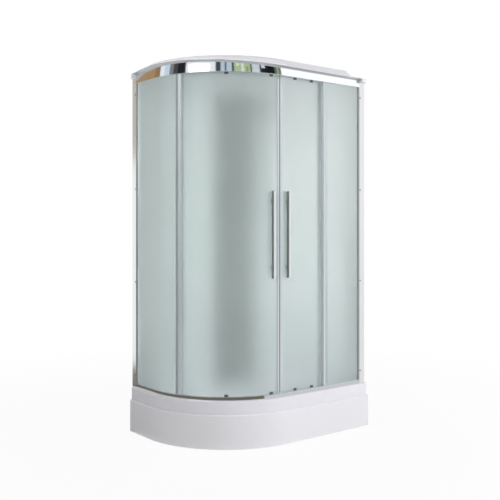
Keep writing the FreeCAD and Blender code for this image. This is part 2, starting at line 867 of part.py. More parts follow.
def make_handle():
    """Straight bar on two short posts, where the straight front begins."""
    half = handle_width / 2
    outline = cut_corners(arc_x - half, arc_x + half, arc_y - handle_front, arc_y - handle_back, handle_cut)
    grip = upright(outline, handle_foot, handle_foot + handle_length)
    posts = [spigot(handle_post_radius, door_outer + touch_gap, handle_back + handle_cut, z)
             for z in handle_bolt_heights()]
    return joined([grip] + posts)


def make_handle_bolts():
    """Bolts through the glass with a round cap on the inside."""
    cap_end = door_inner - touch_gap
    bolts = []
    for bolt_height in handle_bolt_heights():
        cap = spigot(handle_cap_radius, cap_end - handle_cap_height, cap_end, bolt_height)
        shank = spigot(handle_bolt_radius, cap_end, door_outer + touch_gap, bolt_height)
        bolts.append(joined([cap, shank]))
    return bolts


def make_post_screws():
    """Screws with hexagon heads on the outer faces of the front posts."""
    front_face = arc_y - rail_outer
    left_face = arc_x - rail_outer
    screws = []
    for share in post_screw_shares:
        z = bottom_rail_top + share * (top_rail_foot - bottom_rail_top)
        on_right = point(post_right_x + post_screw_edge, front_face, z)
        screws.append(bar(post_screw_radius, post_screw_height, on_right, -forward, hex_sides))
        on_left = point(left_face, post_left_y + post_screw_edge, z)
        screws.append(bar(post_screw_radius, post_screw_height, on_left, -right, hex_sides))
    return screws


def inlet_places():
    return (column_x - inlet_spacing / 2, column_x + inlet_spacing / 2)


def make_panels():
    """Left and right halves of the back wall, which meet behind the column, and the side wall."""
    head = top_rail_top - panel_top_gap
    back_y = panel_plane_y + panel
    left_start = arc_x - rail_outer + post_depth - panel_slot_depth + glass_edge_gap
    corner_reach = panel_clear + post_leg + panel_slot_depth - post_slot_depth + glass_edge_gap
    right_end = panel_plane_x - corner_reach
    side_start = arc_y - rail_outer + post_depth - panel_slot_depth + glass_edge_gap
    side_end = panel_plane_y - corner_reach
    left = block(left_start, column_x, panel_plane_y, back_y, rim_height, head)
    right_half = block(column_x, right_end, panel_plane_y, back_y, rim_height, head)
    side = block(panel_plane_x, panel_plane_x + panel, side_start, side_end, rim_height, head)
    holes = [hole(inlet_pipe_radius + inlet_hole_gap, panel + 2 * overrun,
                  point(x, panel_plane_y - overrun, mixer_height), forward) for x in inlet_places()]
    return left.cut(holes[0]), right_half.cut(holes[1]), side


def column_plan(half, face, back, corner):
    """Plan of the column, or of its hollow, with rounded front corners."""
    return [(column_x - half, face, corner), (column_x + half, face, corner),
            (column_x + half, back, 0), (column_x - half, back, 0)]


def make_column():
    """Deep formed front, open at the back against the wall."""
    half = column_width / 2
    back = panel_plane_y
    inner_half = half - column_shell
    inner_face = column_face_y + column_shell
    outer = column_plan(half, column_face_y, back, column_round)
    inner = column_plan(inner_half, inner_face, back + overrun, column_round - column_shell)
    body = upright(outer, rim_height, column_top)
    body = body.cut(upright(inner, rim_height + column_shell, column_top - column_shell))
    stem_bore = hole(diverter_stem_radius + bearing_gap, column_shell + 2 * overrun,
                     point(column_x, column_face_y - overrun, diverter_height), forward)
    return body.cut(stem_bore)


def make_inlets():
    """Two threaded inlets behind the back wall, each with a hexagon flange and a tail into the column."""
    tail_length = panel + inlet_tail
    inlets = []
    for x in inlet_places():
        seat = point(x, panel_plane_y + panel, mixer_height)
        tail_base = seat - forward * tail_length
        flange = bar(inlet_flange_radius, inlet_flange_height, seat, forward, hex_sides)
        nose = Part.makeCylinder(inlet_radius, inlet_reach, seat, forward)
        tail = bar(inlet_pipe_radius, tail_length, tail_base, forward)
        bore = hole(inlet_bore, tail_length + inlet_reach, tail_base, forward)
        inlets.append(joined([flange, nose, tail]).cut(bore))
    return inlets


def make_mixer_body():
    """Rosette on the column with the cartridge housing and its hollow nose."""
    stem_room = (stem_radius + bearing_gap) / math.cos(math.pi / turned_sides)
    stem_floor = rosette_height + mixer_length - stem_length - run_gap
    end = rosette_height + mixer_length
    profile = [(0, 0), (rosette_radius, 0), (rosette_radius, rosette_height / 2),
               (mixer_radius, rosette_height), (mixer_radius, end), (stem_room, end),
               (stem_room, stem_floor), (0, stem_floor)]
    return turned_solid(profile, point(column_x, column_face_y, mixer_height), -forward)


def lever_pivot():
    """Pin of the lever, in the middle of the cap's slot."""
    reach = cap_turn_start + cap_turn_length - lever_pin_depth
    return point(column_x, column_face_y - reach, mixer_height)


def make_mixer_cap():
    """Cap that turns for temperature, with a stem in the housing and a slot and pin for the lever."""
    end = cap_turn_start + cap_turn_length
    shoulder = cap_turn_radius - rosette_height / 2
    profile = [(0, cap_turn_start - stem_length), (stem_radius, cap_turn_start - stem_length),
               (stem_radius, cap_turn_start), (cap_turn_radius, cap_turn_start),
               (cap_turn_radius, end - rosette_height), (shoulder, end), (0, end)]
    base = point(column_x, column_face_y, mixer_height)
    body = turned_solid(profile, base, -forward)
    half = cap_slot / 2
    slot = block(column_x - half, column_x + half, column_face_y - end - overrun,
                 column_face_y - end + cap_slot_depth, mixer_height - cap_turn_radius - overrun,
                 mixer_height + cap_turn_radius + overrun)
    pivot = lever_pivot()
    pin = bar(lever_pin_radius, cap_slot, pivot - right * half, right)
    return joined([body.cut(slot), pin])


def make_mixer_lever():
    """Flat lever that lifts for flow: a round eye on the pin and an arm that tapers to its tip."""
    pivot = lever_pivot()
    half = lever_wall / 2
    start = pivot - right * half
    eye = bar(lever_eye_radius, lever_wall, start, right, turned_sides)
    corners = [(0, -lever_eye_radius), (-lever_length, -lever_tip), (-lever_length, lever_tip),
               (0, lever_eye_radius)]
    wire = rounded_wire(sharp(corners), lambda y, z: start + point(0, y, z))
    arm = Part.Face(wire).extrude(right * lever_wall)
    bore = hole(lever_pin_radius + bearing_gap, lever_wall, start, right)
    return joined([eye, arm]).cut(bore)


def make_diverter():
    """Many-sided knob with a stem in the column's face."""
    end = run_gap + diverter_length
    profile = [(0, -diverter_stem_length), (diverter_stem_radius, -diverter_stem_length),
               (diverter_stem_radius, run_gap), (diverter_radius, run_gap),
               (diverter_radius, end - diverter_edge), (diverter_radius - diverter_edge, end), (0, end)]
    return turned_solid(profile, point(column_x, column_face_y, diverter_height), -forward)


def make_hose_outlet():
    """Flanged outlet with a threaded nose for a shower hose."""
    neck = outlet_flange_height + outlet_neck_length
    end = neck + outlet_thread_length
    base = point(column_x, column_face_y, outlet_height)
    profile = [(0, 0), (outlet_flange_radius, 0), (outlet_flange_radius, outlet_flange_height / 2),
               (outlet_neck_radius, outlet_flange_height), (outlet_neck_radius, neck), (0, neck)]
    flange = turned_solid(profile, base, -forward)
    nose = Part.makeCylinder(inlet_radius, end, base, -forward)
    return joined([flange, nose]).cut(hole(outlet_bore, end, base, -forward))


def make_shelf():
    """Tray-shaped shelf with a raised rail round its free edges."""
    half = shelf_width / 2
    front = column_face_y - shelf_depth
    corners = [(column_x - half, front, shelf_corner), (column_x + half, front, shelf_corner),
               (column_x + half, column_face_y, 0), (column_x - half, column_face_y, 0)]
    body = upright(corners, shelf_height, shelf_height + shelf_rail)
    inner_half = half - shelf_wall
    inner_round = shelf_corner - shelf_wall
    inner = [(column_x - inner_half, front + shelf_wall, inner_round),
             (column_x + inner_half, front + shelf_wall, inner_round),
             (column_x + inner_half, column_face_y - shelf_wall, 0),
             (column_x - inner_half, column_face_y - shelf_wall, 0)]
    return body.cut(upright(inner, shelf_height + shelf_wall, shelf_height + shelf_rail + overrun))


def make_shower_arm():
    """Flat bar from a flange on the column, bent down to the overhead rose."""
    start = point(column_x - arm_width / 2, column_face_y, arm_height)
    half = arm_wall / 2
    far = -arm_reach - half
    near = -arm_reach + half
    outline = [(0, half, 0), (far, half, arm_bend), (far, -arm_drop, 0), (near, -arm_drop, 0),
               (near, -half, arm_bend - arm_wall), (0, -half, 0)]
    wire = rounded_wire(outline, lambda y, z: start + point(0, y, z))
    bent = Part.Face(wire).extrude(right * arm_width)
    flange = bar(arm_flange_radius, arm_flange_height, point(column_x, column_face_y, arm_height), -forward,
                 turned_sides)
    return joined([bent, flange])


def make_rose():
    """Overhead rose: a flat dish under a low crown, with a socket for the arm."""
    place = point(column_x, column_face_y - arm_reach, arm_height - arm_drop + rose_socket)
    rim_top = -rose_neck_height - rose_crown
    profile = [(0, 0), (rose_neck_radius, 0), (rose_neck_radius, -rose_neck_height), (rose_radius, rim_top),
               (rose_radius, rim_top - rose_rim), (0, rim_top - rose_rim)]
    half_x = arm_width / 2 + touch_gap
    half_y = arm_wall / 2 + touch_gap
    socket = block(place.x - half_x, place.x + half_x, place.y - half_y, place.y + half_y,
                   place.z - rose_socket, place.z + overrun)
    return turned_solid(profile, place, up).cut(socket)


def make_roof():
    """Formed roof: lip on the rails and posts, visor over the bend, raised field and two lugs."""
    plan = plan_wire(roof_inset, roof_wall_inset, roof_corner, top_rail_top)
    lip = prism(plan, roof_lip)
    well = prism(plan_wire(roof_ledge, roof_wall_ledge, roof_corner, top_rail_top), roof_lip)
    insets = (0, field_slope, field_crown_inset)
    heights = (top_rail_top + roof_lip, field_edge(), height)
    under = (top_rail_top - overrun, field_edge() - roof_shell, height - roof_shell)
    field = tiers([field_ring(*ring, 0, 0) for ring in zip(insets, field_back_shares, heights)])
    hollow = tiers([field_ring(*ring, roof_shell, field_bend_wall)
                    for ring in zip(insets, field_back_shares, under)])
    drop = prism(plan_wire(roof_inset, roof_wall_inset, roof_corner, top_rail_top - roof_lug_drop),
                 roof_lug_drop)
    return joined([lip.cut(well), make_visor(), field.cut(hollow)] + [drop.common(lug) for lug in roof_lugs()])


def field_edge():
    """Height of the field's edge, above its sloping face."""
    return top_rail_top + roof_lip + field_rise


def field_ring(inset, back_share, z, wall, bend_wall):
    """Corners of the raised field: an upright cut across the bend, and a long fall to the back wall."""
    left = -half_length + field_inset + inset + wall
    front = -half_depth + field_inset + inset + wall
    right_side = half_length - field_end_inset - inset - wall
    back = arc_y + back_share * (half_depth - arc_y) - wall
    cut = bend_wall - inset - wall
    end_cut = field_end_share * (half_depth - arc_y)
    corners = [(arc_x + cut, front), (right_side - field_cut, front), (right_side, front + field_cut),
               (right_side, back - end_cut), (right_side - end_cut, back), (left + end_cut, back),
               (left, back - end_cut), (left, arc_y + cut)]
    return [point(x, y, z) for x, y in corners]


def tiers(rings):
    """Solid with flat faces through level rings of corners."""
    faces = [Part.Face(Part.makePolygon(ring + ring[:1])) for ring in (rings[0], rings[-1])]
    for ring, following in zip(rings, rings[1:]):
        for k in range(len(ring)):
            after = (k + 1) % len(ring)
            corners = [ring[k], ring[after], following[after], following[k]]
            faces.append(Part.Face(Part.makePolygon(corners + corners[:1])))
    solid = Part.Solid(Part.Shell(faces))
    if solid.Volume < 0:
        solid.reverse()
    return solid


def make_visor():
    """Rounded band over the bend, with a flat top that runs in under the field's edge."""
    rim = bend_radius - roof_inset
    foot = top_rail_top + roof_lip
    curve = [(rim - visor_reach * reach, foot + visor_rise * rise)
             for reach, rise in zip(visor_reach_shares, visor_rise_shares)]
    top = foot + visor_rise
    inside = [(r - roof_shell, z - roof_shell) for r, z in curve[1:]]
    section = [(rim, top_rail_top)] + curve + [(visor_inner, top), (visor_inner, top - roof_shell)]
    section = section + inside[::-1] + [(rim - roof_shell, top_rail_top)]
    near = field_inset + visor_overlap
    left = -half_length - overrun
    front = -half_depth - overrun
    side = [(arc_x, -half_depth + near), (-half_length + near, arc_y), (left, arc_y), (left, front),
            (arc_x, front)]
    return along_front(sharp(section)).common(upright(sharp(side), top_rail_top - overrun, height))


def roof_lugs():
    """Room of the lugs that hang in front of the posts' heads."""
    front_face = arc_y - rail_outer - touch_gap
    left_face = arc_x - rail_outer - touch_gap
    foot = top_rail_top - roof_lug_drop
    return [block(post_right_x, half_length, -half_depth, front_face, foot, top_rail_top),
            block(-half_length, left_face, post_left_y, half_depth, foot, top_rail_top)]


def main():
    os.makedirs("parts", exist_ok=True)
    save("tray", [make_tray()])
    save("apron", [make_apron()])
    save("tray_frame", [make_frame()])
    save("tray_feet", make_feet())
    save("foot_lock_nuts", make_lock_nuts())
    save("drain_flange", [make_drain_flange()])
    save("drain_strainer", [make_strainer()])
    save("drain_trap", [make_trap()])
    save("top_rail", [make_top_rail()])
    save("bottom_rail", [make_bottom_rail()])
    right_post, left_post = make_front_posts()
    save("right_wall_post", [right_post])
    save("left_wall_post", [left_post])
    save("corner_post", [make_corner_post()])
    save("post_screws", make_post_screws())
    left_fixed, right_fixed = make_fixed_glass()
    save("left_fixed_glass", [left_fixed])
    save("right_fixed_glass", [right_fixed])
    left_gasket, right_gasket = make_gaskets()
    save("left_gasket", [left_gasket])
    save("right_gasket", [right_gasket])
    for name, seal in make_seals().items():
        save(name, [seal])
    left_glass, right_glass = make_door_glass()
    save("left_door_glass", [left_glass])
    save("right_door_glass", [right_glass])
    for name, shapes in make_rollers().items():
        save(name, shapes)
    save("left_door_handle", [on_left_door(make_handle(), left_handle_turn())])
    save("right_door_handle", [on_right_door(make_handle(), handle_from_meeting)])
    save("left_handle_bolts", [on_left_door(bolt, left_handle_turn()) for bolt in make_handle_bolts()])
    save("right_handle_bolts", [on_right_door(bolt, handle_from_meeting) for bolt in make_handle_bolts()])
    back_left, back_right, side = make_panels()
    save("back_panel_left", [back_left])
    save("back_panel_right", [back_right])
    save("side_panel", [side])
    save("shower_column", [make_column()])
    save("water_inlets", make_inlets())
    save("mixer_body", [make_mixer_body()])
    save("mixer_cap", [make_mixer_cap()])
    save("mixer_lever", [make_mixer_lever()])
    save("diverter_knob", [make_diverter()])
    save("hose_outlet", [make_hose_outlet()])
    save("shelf", [make_shelf()])
    save("shower_arm", [make_shower_arm()])
    save("overhead_rose", [make_rose()])
    save("roof", [make_roof()])


main()
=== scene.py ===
import json
import math

import bmesh
import bpy
from mathutils import Matrix, Vector

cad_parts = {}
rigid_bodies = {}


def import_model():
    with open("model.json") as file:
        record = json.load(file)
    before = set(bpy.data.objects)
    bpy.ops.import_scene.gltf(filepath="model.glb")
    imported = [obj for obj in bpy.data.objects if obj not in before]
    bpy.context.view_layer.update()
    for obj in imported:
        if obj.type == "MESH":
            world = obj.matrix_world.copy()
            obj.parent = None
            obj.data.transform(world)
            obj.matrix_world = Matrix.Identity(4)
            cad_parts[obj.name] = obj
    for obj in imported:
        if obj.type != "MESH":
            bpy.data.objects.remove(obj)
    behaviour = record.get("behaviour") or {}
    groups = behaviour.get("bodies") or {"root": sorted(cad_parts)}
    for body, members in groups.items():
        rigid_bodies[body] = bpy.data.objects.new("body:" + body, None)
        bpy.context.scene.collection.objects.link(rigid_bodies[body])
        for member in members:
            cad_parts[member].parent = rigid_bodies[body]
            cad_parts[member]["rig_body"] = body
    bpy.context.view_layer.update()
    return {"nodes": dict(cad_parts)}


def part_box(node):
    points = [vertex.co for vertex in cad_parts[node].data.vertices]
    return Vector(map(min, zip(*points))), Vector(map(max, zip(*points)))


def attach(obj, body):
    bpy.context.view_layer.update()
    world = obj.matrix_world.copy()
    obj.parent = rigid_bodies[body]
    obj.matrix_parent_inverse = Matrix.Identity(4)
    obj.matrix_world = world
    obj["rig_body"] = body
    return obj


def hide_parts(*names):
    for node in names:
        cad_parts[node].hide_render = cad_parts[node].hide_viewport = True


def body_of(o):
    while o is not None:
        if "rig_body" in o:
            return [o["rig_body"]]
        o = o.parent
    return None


# Looks of a shower cabin with a bent front: deep tray, frosted glass, two sliding doors and a roof.
# Frame in metres: the doors face -Y, the bend is at the front left, the closed walls are at +Y and +X.

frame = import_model()

# Sizes that the solids don't tell by their boxes, in metres
BEND = 0.55
RAIL_DEPTH = 0.026
RAIL_WALL = 0.003
RAIL_LIP = 0.002
GLASS = 0.005
GLASS_PLAY = 0.001
DOOR_GAP = 0.021
CHANNEL_DROP = 0.025
MAGNET_ROOM = 0.00885
HANDLE_PLACE = 0.053
LEFT_ROUND = 0.040
DRAIN_PLACE = (-0.04, 0.04)
SCREW_SHARES = (0.031, 0.339, 0.649, 0.964)
FOOT_PLACES = [(-0.400, 0.190, 0), (0.400, 0.190, 0), (-0.300, -0.110, 0), (0.400, -0.110, 0),
               (-0.050, -0.205, 0), (0.330, -0.205, 0)]

# Turns round the bend's axis, in degrees: free edges of the two bent panes, and the length of one facet
FIXED_ANGLE = 67.5
DOOR_ANGLE = 71.0
BEND_STEP = 1.5

# Rise of the top rail and of the roof's lip over the bend: its height, the turn at which it is full, the place
# and the run in which it falls to nothing at the left end, the skin of the rail's top that it takes along, and
# the height above the rail where it dies out
BEND_RISE = 0.020
RISE_TURN = 75
RISE_END = 0.41
RISE_RUN = 0.2
RISE_SKIN = 0.0036
RISE_HEAD = 0.030

SHARP = math.radians(32)
WELD = 1e-6
CORNER_STEPS = 12

low_apron, high_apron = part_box("apron")
low_rail, high_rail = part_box("top_rail")
low_sill, high_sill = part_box("bottom_rail")
high_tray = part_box("tray")[1]
AX = low_apron[0] + BEND
AY = low_apron[1] + BEND
RAIL_OUTER = AX - low_rail[0]
RAIL_INNER = RAIL_OUTER - RAIL_DEPTH
RAIL_SPINE = RAIL_OUTER - 0.01
FIXED_OUTER = RAIL_OUTER - RAIL_WALL - GLASS_PLAY
DOOR_OUTER = FIXED_OUTER - GLASS - DOOR_GAP
SLOT_INNER = FIXED_OUTER - GLASS - GLASS_PLAY
LEG_INNER = SLOT_INNER - RAIL_WALL


# Small tools

def linear(code):
    """Linear colour, with alpha, of an sRGB hex value."""
    values = [int(code[k:k + 2], 16) / 255 for k in (1, 3, 5)]
    return [v / 12.92 if v <= 0.04045 else ((v + 0.055) / 1.055) ** 2.4 for v in values] + [1.0]


def add(tree, kind, values=None, links=None, **settings):
    """Adds a node: settings are its properties, values its inputs, links its inputs' sources."""
    made = tree.nodes.new(kind)
    for name, value in settings.items():
        setattr(made, name, value)
    for name, value in (values or {}).items():
        made.inputs[name].default_value = value
    for name, source in (links or {}).items():
        tree.links.new(source, made.inputs[name])
    return made


def new_object(name, mesh):
    made = bpy.data.objects.new(name, mesh)
    bpy.context.scene.collection.objects.link(made)
    return made


def from_bmesh(name, bm):
    """Mesh object with its faces turned outwards and smooth up to the sharp angle."""
    bmesh.ops.recalc_face_normals(bm, faces=bm.faces)
    mesh = bpy.data.meshes.new(name)
    bm.to_mesh(mesh)
    bm.free()
    mesh.shade_smooth()
    mesh.set_sharp_from_angle(angle=SHARP)
    return new_object(name, mesh)


def worked_mesh(holder):
    """Plain mesh of what an object's modifiers make."""
    bpy.context.view_layer.update()
    graph = bpy.context.evaluated_depsgraph_get()
    return bpy.data.meshes.new_from_object(holder.evaluated_get(graph))


def flat_broad(piece):
    """Keeps broad faces flat in the light, so that only their rounded edges shade."""
    work = piece.modifiers.new("weights", "WEIGHTED_NORMAL")
    work.keep_sharp = True
    mesh = worked_mesh(piece)
    piece.modifiers.clear()
    piece.data = mesh
    return piece


def settle(piece, body, material, node):
    """Gives a finished piece its material and its body, and hides the solid that it stands for."""
    piece.data.materials.clear()
    piece.data.materials.append(material)
    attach(piece, body)
    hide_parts(node)


def eased(corners, radius, steps=4):
    """Section with its corners rounded; a corner may carry its own radius as a third number."""
    points = []
    count = len(corners)
    for k, corner in enumerate(corners):
        here = Vector(corner[:2])
        own = corner[2] if len(corner) > 2 else radius
        back = Vector(corners[k - 1][:2]) - here
        ahead = Vector(corners[(k + 1) % count][:2]) - here
        angle = back.angle(ahead)
        room = 0.48 * min(back.length, ahead.length)
        reach = min(own / math.tan(angle / 2), room)
        own = reach * math.tan(angle / 2)
        if own < WELD or angle > math.radians(178):
            points.append(here)
            continue
        back.normalize()
        ahead.normalize()
        middle = here + (back + ahead).normalized() * (own / math.sin(angle / 2))
        start = here + back * reach - middle
        end = here + ahead * reach - middle
        sweep = start.angle_signed(end)
        for s in range(steps + 1):
            turn = -sweep * s / steps
            points.append(middle + Vector((start.x * math.cos(turn) - start.y * math.sin(turn),
                                           start.x * math.sin(turn) + start.y * math.cos(turn))))
    return points


def line_object(name, points, closed):
    mesh = bpy.data.meshes.new(name)
    count = len(points)
    runs = [(k, (k + 1) % count) for k in range(count if closed else count - 1)]
    mesh.from_pydata([tuple(p) for p in points], runs, [])
    return new_object(name, mesh)


def centre_of(low, high):
    return [(a + b) / 2 for a, b in zip(low, high)]


# Geometry Nodes: one tree carries a section along the bent front, the other puts one shape at each point

def new_tree(name, first, second):
    """Tree that takes a geometry, an object and a finish; gives its inputs and the object's geometry too."""
    tree = bpy.data.node_groups.new(name, "GeometryNodeTree")
    for socket, kind in ((first, "NodeSocketGeometry"), (second, "NodeSocketObject"),
                         ("Finish", "NodeSocketMaterial")):
        tree.interface.new_socket(socket, in_out="INPUT", socket_type=kind)
    tree.interface.new_socket("Piece", in_out="OUTPUT", socket_type="NodeSocketGeometry")
    given = add(tree, "NodeGroupInput")
    drawn = add(tree, "GeometryNodeObjectInfo", links={"Object": given.outputs[second]})
    return tree, given, drawn.outputs["Geometry"]


def end_tree(tree, given, made):
    """Makes what a tree has put together real and gives it its finish."""
    real = add(tree, "GeometryNodeRealizeInstances", links={0: made.outputs[0]})
    painted = add(tree, "GeometryNodeSetMaterial", links={0: real.outputs[0], "Material": given.outputs["Finish"]})
    add(tree, "NodeGroupOutput", links={0: painted.outputs[0]})
    return tree


def carry_tree():
    tree, given, section = new_tree("section along the front", "Path", "Section")
    path = add(tree, "GeometryNodeMeshToCurve", links={0: given.outputs["Path"]})
    level = add(tree, "GeometryNodeSetCurveNormal", links={0: path.outputs[0]}, mode="Z_UP")
    outline = add(tree, "GeometryNodeMeshToCurve", links={0: section})
    swept = add(tree, "GeometryNodeCurveToMesh", {"Fill Caps": True},
                {"Curve": level.outputs[0], "Profile Curve": outline.outputs[0]})
    return end_tree(tree, given, swept)


def repeat_tree():
    tree, given, shape = new_tree("one shape at each point", "Points", "Shape")
    spread = add(tree, "GeometryNodeMeshToPoints", links={0: given.outputs["Points"]})
    put = add(tree, "GeometryNodeInstanceOnPoints", links={"Points": spread.outputs[0], "Instance": shape})
    return end_tree(tree, given, put)


def run_tree(name, tree, holder, inputs):
    """Piece that a tree makes on a holder, with its named inputs set first; the holder is taken away."""
    work = holder.modifiers.new("nodes", "NODES")
    work.node_group = tree
    names = {item.name: item.identifier for item in tree.interface.items_tree if item.in_out == "INPUT"}
    for socket, value in inputs.items():
        work[names[socket]] = value
    mesh = worked_mesh(holder)
    bpy.data.objects.remove(holder)
    bm = bmesh.new()
    bm.from_mesh(mesh)
    bmesh.ops.remove_doubles(bm, verts=bm.verts, dist=WELD)
    return from_bmesh(name, bm)


def front_path(radius, start_turn=0.0, end_turn=90.0, right_end=None, left_end=None, left_round=0.0):
    """Points along the front from its left end to its right end, at a distance from the bend's axis."""
    points = []
    side = AX - radius
    if left_end is not None:
        for k in range(CORNER_STEPS if left_round else 0):
            turn = math.radians(180 - 90 * k / CORNER_STEPS)
            points.append((side + left_round * (1 - math.sin(turn)),
                           left_end - left_round * (1 + math.cos(turn)), 0))
        points.append((side, left_end - left_round, 0))
    count = max(2, math.ceil((end_turn - start_turn) / BEND_STEP))
    for k in range(count + 1):
        turn = math.radians(end_turn + (start_turn - end_turn) * k / count)
        points.append((AX - radius * math.sin(turn), AY - radius * math.cos(turn), 0))
    if right_end is not None:
        points.append((right_end, AY - radius, 0))
    return points


def carried(name, tree, section, path_radius, material, **ends):
    """Piece with a (distance from the bend's axis, height) section along the front."""
    path = line_object(name + "_path", front_path(path_radius, **ends), False)
    drawn = line_object(name + "_section", [(r - path_radius, -z, 0) for r, z in section], True)
    piece = run_tree(name, tree, path, {"Section": drawn, "Finish": material})
    bpy.data.objects.remove(drawn)
    return piece


def repeated(name, tree, shape, points, material):
    """Copies of a shape, drawn round the origin, at the given points."""
    holder = line_object(name + "_points", points, False)
    piece = run_tree(name, tree, holder, {"Shape": shape, "Finish": material})
    bpy.data.objects.remove(shape)
    return piece


# Other ways to make a mesh

def plan_ring(front_inset, wall_inset, corner, z, left_round=None):
    """Level ring: the bend at the front left and three small corners, always with the same points."""
    left, front = low_apron[0] + front_inset, low_apron[1] + front_inset
    right, back = -low_apron[0] - wall_inset, -low_apron[1] - wall_inset
    bend = BEND - front_inset
    last = left_round or corner
    arcs = ((left + bend, front + bend, bend, 180, 60),
            (right - corner, front + corner, corner, 270, 8),
            (right - corner, back - corner, corner, 0, 8),
            (left + last, back - last, last, 90, CORNER_STEPS))
    points = []
    for x, y, radius, start, steps in arcs:
        for k in range(steps + 1):
            turn = math.radians(start + 90 * k / steps)
            points.append(Vector((x + radius * math.cos(turn), y + radius * math.sin(turn), z)))
    return points


def join_rows(bm, row, following):
    """Faces between two rows of points that go round."""
    count = len(row)
    for k in range(count):
        after = (k + 1) % count
        bm.faces.new((row[k], row[after], following[after], following[k]))


def ring_shell(name, rings, closed=True):
    """Skin through rings of equal length; closed joins the last ring to the first."""
    bm = bmesh.new()
    rows = [[bm.verts.new(p) for p in ring] for ring in rings]
    for row, following in zip(rows, rows[1:]):
        join_rows(bm, row, following)
    if closed:
        join_rows(bm, rows[-1], rows[0])
    else:
        bm.faces.new(rows[0])
        bm.faces.new(rows[-1])
    bmesh.ops.remove_doubles(bm, verts=bm.verts, dist=WELD)
    return from_bmesh(name, bm)


def turned(name, profile, base, axis, sides=48):
    """Turned piece: profile holds (radius, distance along the axis) points, closed on the axis or on itself."""
    bm = bmesh.new()
    place = Matrix.Translation(base) @ Vector((0, 0, 1)).rotation_difference(Vector(axis)).to_matrix().to_4x4()
    turns = [math.tau * k / sides for k in range(sides)]
    rows = [[bm.verts.new(place @ Vector((radius * math.cos(turn), radius * math.sin(turn), along)))
             for turn in turns] for radius, along in profile]
    for k, row in enumerate(rows):
        after = (k + 1) % len(rows)
        if max(profile[k][0], profile[after][0]) >= WELD:
            join_rows(bm, row, rows[after])
    bmesh.ops.remove_doubles(bm, verts=bm.verts, dist=WELD)
    return from_bmesh(name, bm)


def thread(start, stop, pitch, crest, root):
    """Rings that stand for a thread, as points of a turned piece's profile."""
    points = []
    along = start
    while along < stop:
        points += [(crest, along), (root, along + pitch / 2)]
        along += pitch
    return points


def merged(name, pieces):
    """One object from several, which are taken away."""
    bm = bmesh.new()
    for piece in pieces:
        bm.from_mesh(piece.data)
        bpy.data.objects.remove(piece)
    return from_bmesh(name, bm)


def moved(piece, matrix):
    piece.data.transform(matrix)
    return piece


def round_left_end(bm):
    """Rounds the back left corner of a plate by cuts along an arc."""
    left = min(v.co.x for v in bm.verts)
    back = max(v.co.y for v in bm.verts)
    middle = Vector((left + LEFT_ROUND, back - LEFT_ROUND, 0))
    for turn in range(5, 90, 10):
        way = Vector((-math.sin(math.radians(turn)), math.cos(math.radians(turn)), 0))
        parts = bm.verts[:] + bm.edges[:] + bm.faces[:]
        cut = bmesh.ops.bisect_plane(bm, geom=parts, plane_co=middle + way * LEFT_ROUND, plane_no=way,
                                     clear_outer=True)
        rim = [e for e in cut["geom_cut"] if isinstance(e, bmesh.types.BMEdge)]
        bmesh.ops.edgeloop_fill(bm, edges=rim)


def eased_copy(node, width, reshape=None):
    """Copy of a solid with its corners rounded off by a width; reshape may cut it first."""
    source = frame["nodes"][node]
    bm = bmesh.new()
    bm.from_mesh(source.data)
    bm.transform(source.matrix_world)
    bmesh.ops.remove_doubles(bm, verts=bm.verts, dist=2e-5)
    bmesh.ops.dissolve_limit(bm, angle_limit=math.radians(1), verts=bm.verts, edges=bm.edges)
    if reshape:
        reshape(bm)
    edges = [e for e in bm.edges if e.is_manifold and e.calc_face_angle() > SHARP]
    bmesh.ops.bevel(bm, geom=edges, offset=width, segments=2, profile=0.5, affect="EDGES", clamp_overlap=True)
    return flat_broad(from_bmesh(node + "_eased", bm))


def lift_over_bend(piece, foot, full, head):
    """Raises what lies between the heights foot and head over the bend, in full up to the height full."""
    for vertex in piece.data.vertices:
        x, y, z = vertex.co
        if not foot < z < head:
            continue
        turn = math.degrees(math.atan2(AX - x, max(AY - y, 0.0)))
        share = min(max(turn / RISE_TURN, 0.0), 1.0)
        share = share * share * (3 - 2 * share) * min(max((RISE_END - y) / RISE_RUN, 0.0), 1.0)
        vertex.co.z += BEND_RISE * share * min(1.0, (head - z) / (head - full))


# Finishes

def plain_finish(name, code, roughness, **sockets):
    """Material with its colour, roughness and other uniform values on the shader's own sockets."""
    material = bpy.data.materials.new(name)
    material.use_nodes = True
    tree = material.node_tree
    shader = tree.nodes["Principled BSDF"]
    shader.inputs["Base Color"].default_value = linear(code)
    shader.inputs["Roughness"].default_value = roughness
    for socket, value in sockets.items():
        shader.inputs[socket.replace("_", " ")].default_value = value
    place = add(tree, "ShaderNodeTexCoord")
    return material, tree, shader, place.outputs["Object"]


def shaded(tree, shader, pattern, codes=None, rough=None, bump=None):
    """Lets a pattern shift the colour between two codes, the roughness between two values and the height."""
    if codes:
        shade = add(tree, "ShaderNodeMix", {6: linear(codes[0]), 7: linear(codes[1])}, {0: pattern},
                    data_type="RGBA")
        tree.links.new(shade.outputs[2], shader.inputs["Base Color"])
    if rough:
        span = add(tree, "ShaderNodeMapRange", {"To Min": rough[0], "To Max": rough[1]}, {"Value": pattern})
        tree.links.new(span.outputs[0], shader.inputs["Roughness"])
    if bump:
        relief = add(tree, "ShaderNodeBump", {"Strength": bump[0], "Distance": bump[1]}, {"Height": pattern})
        tree.links.new(relief.outputs[0], shader.inputs["Normal"])


def mottle(tree, shader, place, size, codes, rough, bump):
    """Soft patches of a size in metres that shift the colour, the roughness and the height."""
    noise = add(tree, "ShaderNodeTexNoise", {"Scale": 1 / size, "Detail": 3.0, "Roughness": 0.55}, {"Vector": place})
    shaded(tree, shader, noise.outputs[0], codes, rough, bump)


